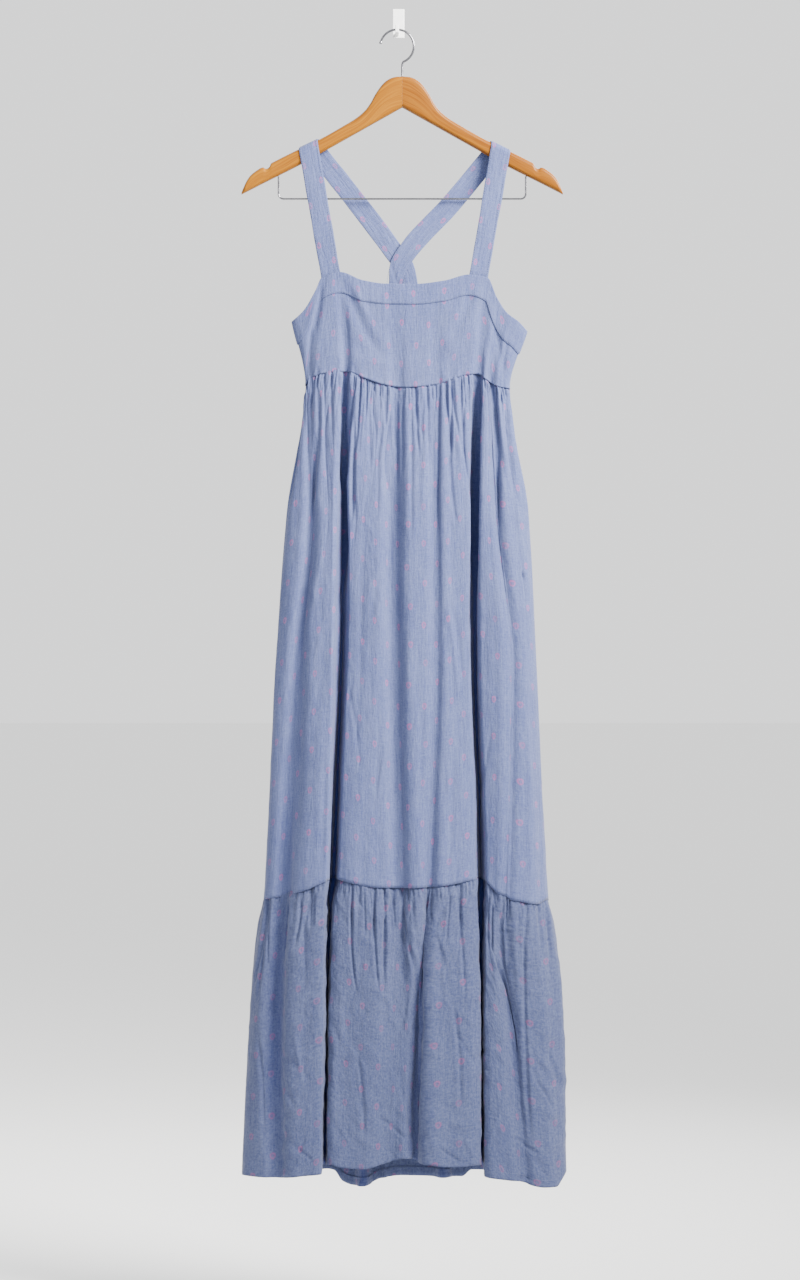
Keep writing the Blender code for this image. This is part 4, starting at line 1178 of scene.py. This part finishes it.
def ring_strength(tree, u, v, heather):
    """How strongly the small woven rings show, each a little off its place and of its own strength."""
    column = tree.over(u, MOTIF_PITCH)
    which = tree.math("FLOOR", column)
    odd = tree.times(tree.math("FLOORED_MODULO", which, 2.0), 0.5)
    repeat = tree.plus(tree.over(v, MOTIF_REPEAT), odd)
    cell = tree.nodes.new("ShaderNodeTexWhiteNoise")
    cell.noise_dimensions = "2D"
    tree.link(tree.vector(which, tree.math("FLOOR", repeat)), cell.inputs["Vector"])
    chance = tree.split(cell.outputs["Color"])
    at = []
    for value, size, drawn, off in ((column, MOTIF_PITCH, chance[0], RING_OFF[0]),
                                    (repeat, MOTIF_REPEAT, chance[1], RING_OFF[1])):
        middle = tree.times(tree.minus(tree.math("FRACT", value), 0.5), size)
        at.append(tree.plus(middle, tree.times(tree.minus(drawn, 0.5), off)))
    narrow = tree.plus(1.0, tree.times(at[1], RING_NARROW))
    across = tree.over(tree.times(at[0], narrow), MOTIF_HALF[0])
    along = tree.over(at[1], MOTIF_HALF[1])
    away = tree.math("SQRT", tree.plus(tree.times(across, across), tree.times(along, along)))
    away = tree.plus(away, tree.times(tree.minus(heather, 0.5), RING_ROUGH))
    ring = tree.fade(away, *RING_EDGE)
    core = tree.fade(away, *RING_CORE)
    sine = tree.math("SINE", tree.times(v, RING_THREADS))
    threads = tree.plus(RING_GAPS[0], tree.times(sine, RING_GAPS[1]))
    least, more = RING_STRENGTH
    strength = tree.times(tree.times(ring, threads), tree.plus(least, tree.times(chance[2], more)))
    return tree.times(strength, tree.minus(1.0, tree.times(core, RING_HOLLOW)))


def cotton(name, greyer=0.0, crumpled=0.0):
    """Light chambray: pale and blue threads, slubs, soft crinkle, small woven pink rings, painted shade in
    deep folds.
    """
    tree = Tree(name)
    # The third number of the cloth attribute is the painted shade inside the deep folds.
    painted_shade = tree.split(tree.attribute("cloth"))[2]
    u, v, _ = tree.millimetres("cloth")
    heather = tree.speckle(u, v, HEATHER)
    colour = tree.mix(cotton_tone(tree, u, v, heather, greyer), COTTON_DEEP, COTTON_PALE)
    colour = tree.mix(ring_strength(tree, u, v, heather), colour, PINK)
    if greyer:
        colour = tree.mix(greyer, colour, COTTON_GREY)
    # Painted shade: a dark navy mixed in inside the deep folds.
    colour = tree.mix(tree.times(painted_shade, PAINTED_SHADE_SHARE), colour, COTTON_PAINTED_SHADE)
    normal = tree.bump(tree.speckle(u, v, CRINKLE), *CRINKLE_BUMP)
    if crumpled:
        sharp = tree.math("ABSOLUTE", tree.minus(tree.speckle(u, v, CRUMPLED), 0.5))
        normal = tree.bump(sharp, crumpled, 1.0, normal)
    normal = tree.bump(tree.speckle(u, v, SLUB), *SLUB_BUMP, normal)
    weave = tree.times(*(tree.math("SINE", tree.times(value, WEAVE)) for value in (u, v)))
    normal = tree.bump(weave, *WEAVE_BUMP, normal)
    tree.inputs(Base_Color=colour, Normal=normal, Roughness=tree.fade(heather, 0.2, 0.8, 0.82, 0.95),
                Specular_IOR_Level=0.25, Sheen_Weight=0.12, Sheen_Roughness=0.5)
    return tree.material


def thread_finish():
    """Blue sewing thread with a twist."""
    tree = Tree("thread", roughness=0.6)
    shade = tree.noise(tree.own_place(), 900, 2)
    tree.inputs(Base_Color=tree.mix(shade, (0.045, 0.06, 0.15), (0.10, 0.125, 0.24)),
                Normal=tree.bump(shade, 0.08, 0.6))
    return tree.material


def wood_finish(name, deep, pale, seed):
    """Varnished wood, with its grain along the arm in the grain attribute."""
    tree = Tree(name)
    along, out, high = tree.millimetres("grain")
    bend = tree.noise(tree.vector(tree.times(along, 0.012), tree.times(high, 0.05), seed), 1, 2)
    rings = tree.vector(tree.times(along, 0.010),
                        tree.plus(tree.times(high, 0.34), tree.times(bend, 5.0)), tree.times(out, 0.2))
    growth = tree.noise(rings, 1, 3, 0.6)
    lines = tree.vector(tree.times(along, 0.09), tree.times(high, 2.4), tree.times(out, 1.6))
    pores = tree.noise(lines, 1, 2, 0.7)
    colour = tree.mix(tree.fade(growth, 0.3, 0.72), deep, pale)
    dark = tuple(value * 0.55 for value in deep)
    colour = tree.mix(tree.fade(pores, 0.62, 0.8, 0.0, 0.45), colour, dark)
    tree.inputs(Base_Color=colour, Normal=tree.bump(pores, 0.10, 0.35),
                Roughness=tree.fade(growth, 0.2, 0.8, 0.30, 0.44),
                Specular_IOR_Level=0.18, Coat_Weight=0.06, Coat_Roughness=0.25)
    return tree.material


def steel_finish():
    """Bright plated wire with fine drawing marks."""
    tree = Tree("plated_wire")
    marks = tree.noise(tree.own_place(), 420, 3, 0.7)
    tree.inputs(Metallic=1.0, Base_Color=tree.mix(marks, (0.10, 0.10, 0.11), (0.26, 0.26, 0.28)),
                Roughness=tree.fade(marks, 0.3, 0.7, 0.14, 0.30))
    return tree.material


def plastic_finish():
    """White moulded plastic with a faint ripple."""
    tree = Tree("white_plastic")
    ripple = tree.noise(tree.own_place(), 160, 2)
    tree.inputs(Base_Color=tree.mix(ripple, (0.74, 0.75, 0.75), (0.84, 0.84, 0.83)),
                Roughness=tree.fade(ripple, 0.3, 0.7, 0.24, 0.36), Normal=tree.bump(ripple, 0.1, 0.2),
                Subsurface_Weight=0.15, Subsurface_Radius=(0.004, 0.004, 0.004))
    return tree.material


def make_arm(name, side, finish):
    """One arm of the hanger, with rounded edges and its grain laid along it."""
    outs = [cut.out for cut in ARM]
    stations = np.linspace(outs[0], outs[-1], ARM_CUTS)
    tops = curve_at(outs, [cut.top for cut in ARM], stations)
    bottoms = curve_at(outs, [cut.bottom for cut in ARM], stations)
    middle = (tops + bottoms) / 2
    run = run_along(np.stack((stations, middle), axis=-1))
    points = []
    grain = []
    for out, top, bottom, mid, at in zip(stations, tops, bottoms, middle, run):
        radius = min(ARM_THICK / 2, (top - bottom) / 2 - 0.1)
        for centre, start in ((top - radius, 0), (bottom + radius, math.pi)):
            for step in range(ARM_ROUND):
                angle = start + math.pi * step / (ARM_ROUND - 1)
                y = math.cos(angle) * radius - HANGER_OFF
                z = centre + math.sin(angle) * radius
                points.append((side * out, y, z))
                grain.append((at * MM, y * MM, (z - mid) * MM + side * GRAIN_APART))
    faces = tube_faces(ARM_CUTS, 2 * ARM_ROUND, flip=side < 0)
    piece = new_piece(name, points, faces, finish, grain, "grain")
    piece.data.set_sharp_from_angle(angle=SHARP)
    return piece


def make_wire(name, points, radius, finish, swell=()):
    """A bent round wire through the points, as a smooth mesh tube."""
    path = np.array([(x, -HANGER_OFF, z) for x, z in points], float)
    ahead = np.gradient(path, axis=0)
    ahead /= np.linalg.norm(ahead, axis=1, keepdims=True)
    out_of_plane = np.array((0.0, 1.0, 0.0))
    rings = []
    for i, (point, direction) in enumerate(zip(path, ahead)):
        size = radius * (swell[i] if i < len(swell) else 1.0)
        beside = np.cross(direction, out_of_plane)
        rings += [point + (beside * math.cos(a) + out_of_plane * math.sin(a)) * size
                  for a in np.linspace(0, 2 * math.pi, WIRE_SIDES, endpoint=False)]
    piece = new_piece(name, rings, tube_faces(len(path), WIRE_SIDES), finish)
    piece.data.set_sharp_from_angle(angle=SHARP)
    return piece


def hook_points():
    """The hanger's hook from its tip, over the peg and down the stem to the wood."""
    turns = [math.radians(HOOK_START + turn) for turn in KNOB_TURNS]
    turns += [math.radians(a) for a in np.linspace(HOOK_START, HOOK_END, HOOK_CUTS)]
    points = [(HOOK_MIDDLE[0] + HOOK_RADIUS * math.cos(a), HOOK_MIDDLE[1] + HOOK_RADIUS * math.sin(a))
              for a in turns]
    return points + list(HOOK_STEM)


def bar_points():
    """The trouser bar: down from one arm, across, and up to the other."""
    points = [(BAR_OUT, BAR_TOP)]
    for turn in np.linspace(0, math.pi / 2, BAR_BEND_CUTS):
        points.append((BAR_OUT - BAR_BEND * (1 - math.cos(turn)),
                       BAR_Z + BAR_BEND * (1 - math.sin(turn))))
    straight = np.linspace(BAR_OUT - BAR_BEND - BAR_CLEAR, BAR_CLEAR, BAR_CUTS)
    points += [(x, BAR_Z) for x in straight]
    return [(-x, z) for x, z in points] + points[::-1]


def make_wall_hook(name, finish):
    """The plate, and the peg with its raised lip, with softened edges."""
    mesh = bmesh.new()
    wide, tall, thick = PLATE
    plate = bmesh.ops.create_cube(mesh, size=1)["verts"]
    bmesh.ops.scale(mesh, verts=plate, vec=(wide, thick, tall))
    bmesh.ops.translate(mesh, verts=plate, vec=(0, -thick / 2, 0))
    low = PEG_TOP - PEG_THICK
    inner = PEG_REACH - LIP_THICK
    outline = ((PEG_ROOT, PEG_TOP), (inner, PEG_TOP), (inner, PEG_TOP + LIP_HEIGHT),
               (PEG_REACH, PEG_TOP + LIP_HEIGHT), (PEG_REACH, low + PEG_CORNER),
               (PEG_REACH - PEG_CORNER, low), (PEG_ROOT, low))
    face = mesh.faces.new([mesh.verts.new((PEG_X - PEG_WIDTH / 2, -off, z)) for off, z in outline])
    moved = bmesh.ops.extrude_face_region(mesh, geom=[face])["geom"]
    far = [item for item in moved if isinstance(item, bmesh.types.BMVert)]
    bmesh.ops.translate(mesh, verts=far, vec=(PEG_WIDTH, 0, 0))
    bmesh.ops.recalc_face_normals(mesh, faces=mesh.faces)
    bmesh.ops.scale(mesh, verts=mesh.verts, vec=(MM, MM, MM))
    data = bpy.data.meshes.new(name)
    mesh.to_mesh(data)
    mesh.free()
    data.materials.append(finish)
    piece = add_object(name, data)
    soft = piece.modifiers.new("soft_edges", "BEVEL")
    soft.width = SOFT_EDGE * MM
    soft.segments = 3
    soft.harden_normals = True
    data.shade_smooth()
    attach(piece, "root")
    return piece


def add_lamp(lamp):
    """A soft square light."""
    data = bpy.data.lights.new(lamp.name, "AREA")
    data.spread = math.radians(lamp.spread)
    data.size = lamp.size
    data.energy = lamp.power
    data.color = lamp.colour
    light = add_object(lamp.name, data)
    light.location = lamp.place
    turn(light, lamp.aim)


def turn(item, aim):
    """Point a light or camera at a place."""
    away = item.location - Vector(aim)
    item.rotation_euler = away.to_track_quat("Z", "Y").to_euler()


def make_stage():
    """Pale floor, pale surroundings and soft lights."""
    mesh = bpy.data.meshes.new("floor")
    corners = [(x * FLOOR_REACH, y * FLOOR_REACH, FLOOR_Z) for x, y in ((-1, -1), (1, -1), (1, 1), (-1, 1))]
    mesh.from_pydata(corners, [], [(0, 1, 2, 3)])
    mesh.materials.append(Tree("floor_paint", FLOOR_PAINT, 0.95).material)
    add_object("floor", mesh)
    world = bpy.data.worlds.new("studio")
    world.use_nodes = True
    around = world.node_tree.nodes["Background"].inputs
    around["Color"].default_value = SURROUNDINGS
    around["Strength"].default_value = SURROUNDINGS_STRENGTH
    bpy.context.scene.world = world
    for lamp in LAMPS:
        add_lamp(lamp)


def add_camera():
    """The camera, square to the wall, with the photo's scale where the dress hangs."""
    data = bpy.data.cameras.new("camera")
    camera = add_object("camera", data)
    x = (PHOTO[0] / 2 - PHOTO_ZERO[0]) * PHOTO_SCALE + HANGER_AT[0]
    z = (PHOTO_ZERO[1] - PHOTO[1] / 2) * PHOTO_SCALE + HANGER_AT[2]
    camera.location = (x * MM, -(CAMERA_AWAY + DRESS_OFF * MM), z * MM)
    turn(camera, (x * MM, 0, z * MM))
    data.sensor_width = SENSOR
    data.lens = SENSOR * CAMERA_AWAY / (PHOTO[1] * PHOTO_SCALE * MM)
    bpy.context.scene.camera = camera


def stand_for(piece, node):
    """Show a piece instead of a solid, by hiding the solid."""
    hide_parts(node)


def make_dress():
    """Every sheet of the dress, with its stitches."""
    cloth = cotton("chambray")
    tier_cloth = cotton("chambray_tier", greyer=0.4, crumpled=2.8)
    thread = thread_finish()
    made = {}
    bands = {}
    for panel in GATHERED:
        finish = tier_cloth if panel.gathers.seam == TIER else cloth
        made[panel.name], line = make_panel(panel, finish)
        if line:
            stitches(panel.name + "_stitches", [line], thread)
    for side, columns, creases, seed in (("front", 300, BODICE_CREASES, 200),
                                         ("back", 260, scattered(BACK_BODICE_CREASES), 220)):
        pieces, lines = make_bodice(side, columns, creases, seed, cloth)
        made.update(pieces)
        bands.update(lines)
    for name, line in bands.items():
        stitches(name + "_stitches", [line], thread)
    for name, seed in (("strap_left", 240), ("strap_right", 250)):
        made[name], rows = make_strap(name + "_cloth", STRAPS[name], seed, cloth)
        stitches(name + "_stitches", strap_lines(rows), thread)
    for name, piece in made.items():
        stand_for(piece, name)


def make_hanger():
    """The hanger's arms and wires, and the wall hook."""
    left = wood_finish("honey_wood_left", (0.165, 0.052, 0.0004), (0.25, 0.096, 0.001), 2.0)
    right = wood_finish("honey_wood_right", (0.135, 0.039, 0.0004), (0.205, 0.072, 0.001), 9.0)
    for node, side, wood in (("hanger_arm_left", -1, left), ("hanger_arm_right", 1, right)):
        stand_for(make_arm(node + "_wood", side, wood), node)
    steel = steel_finish()
    hook = make_wire("hanger_hook_wire", hook_points(), HOOK_WIRE, steel, KNOB_SWELL)
    stand_for(hook, "hanger_hook")
    stand_for(make_wire("trouser_bar_wire", bar_points(), BAR_WIRE, steel), "trouser_bar")
    stand_for(make_wall_hook("wall_hook_look", plastic_finish()), "wall_hook")


def main():
    """Build the looks, the stage and the camera."""
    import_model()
    make_dress()
    make_hanger()
    make_stage()
    add_camera()


main()
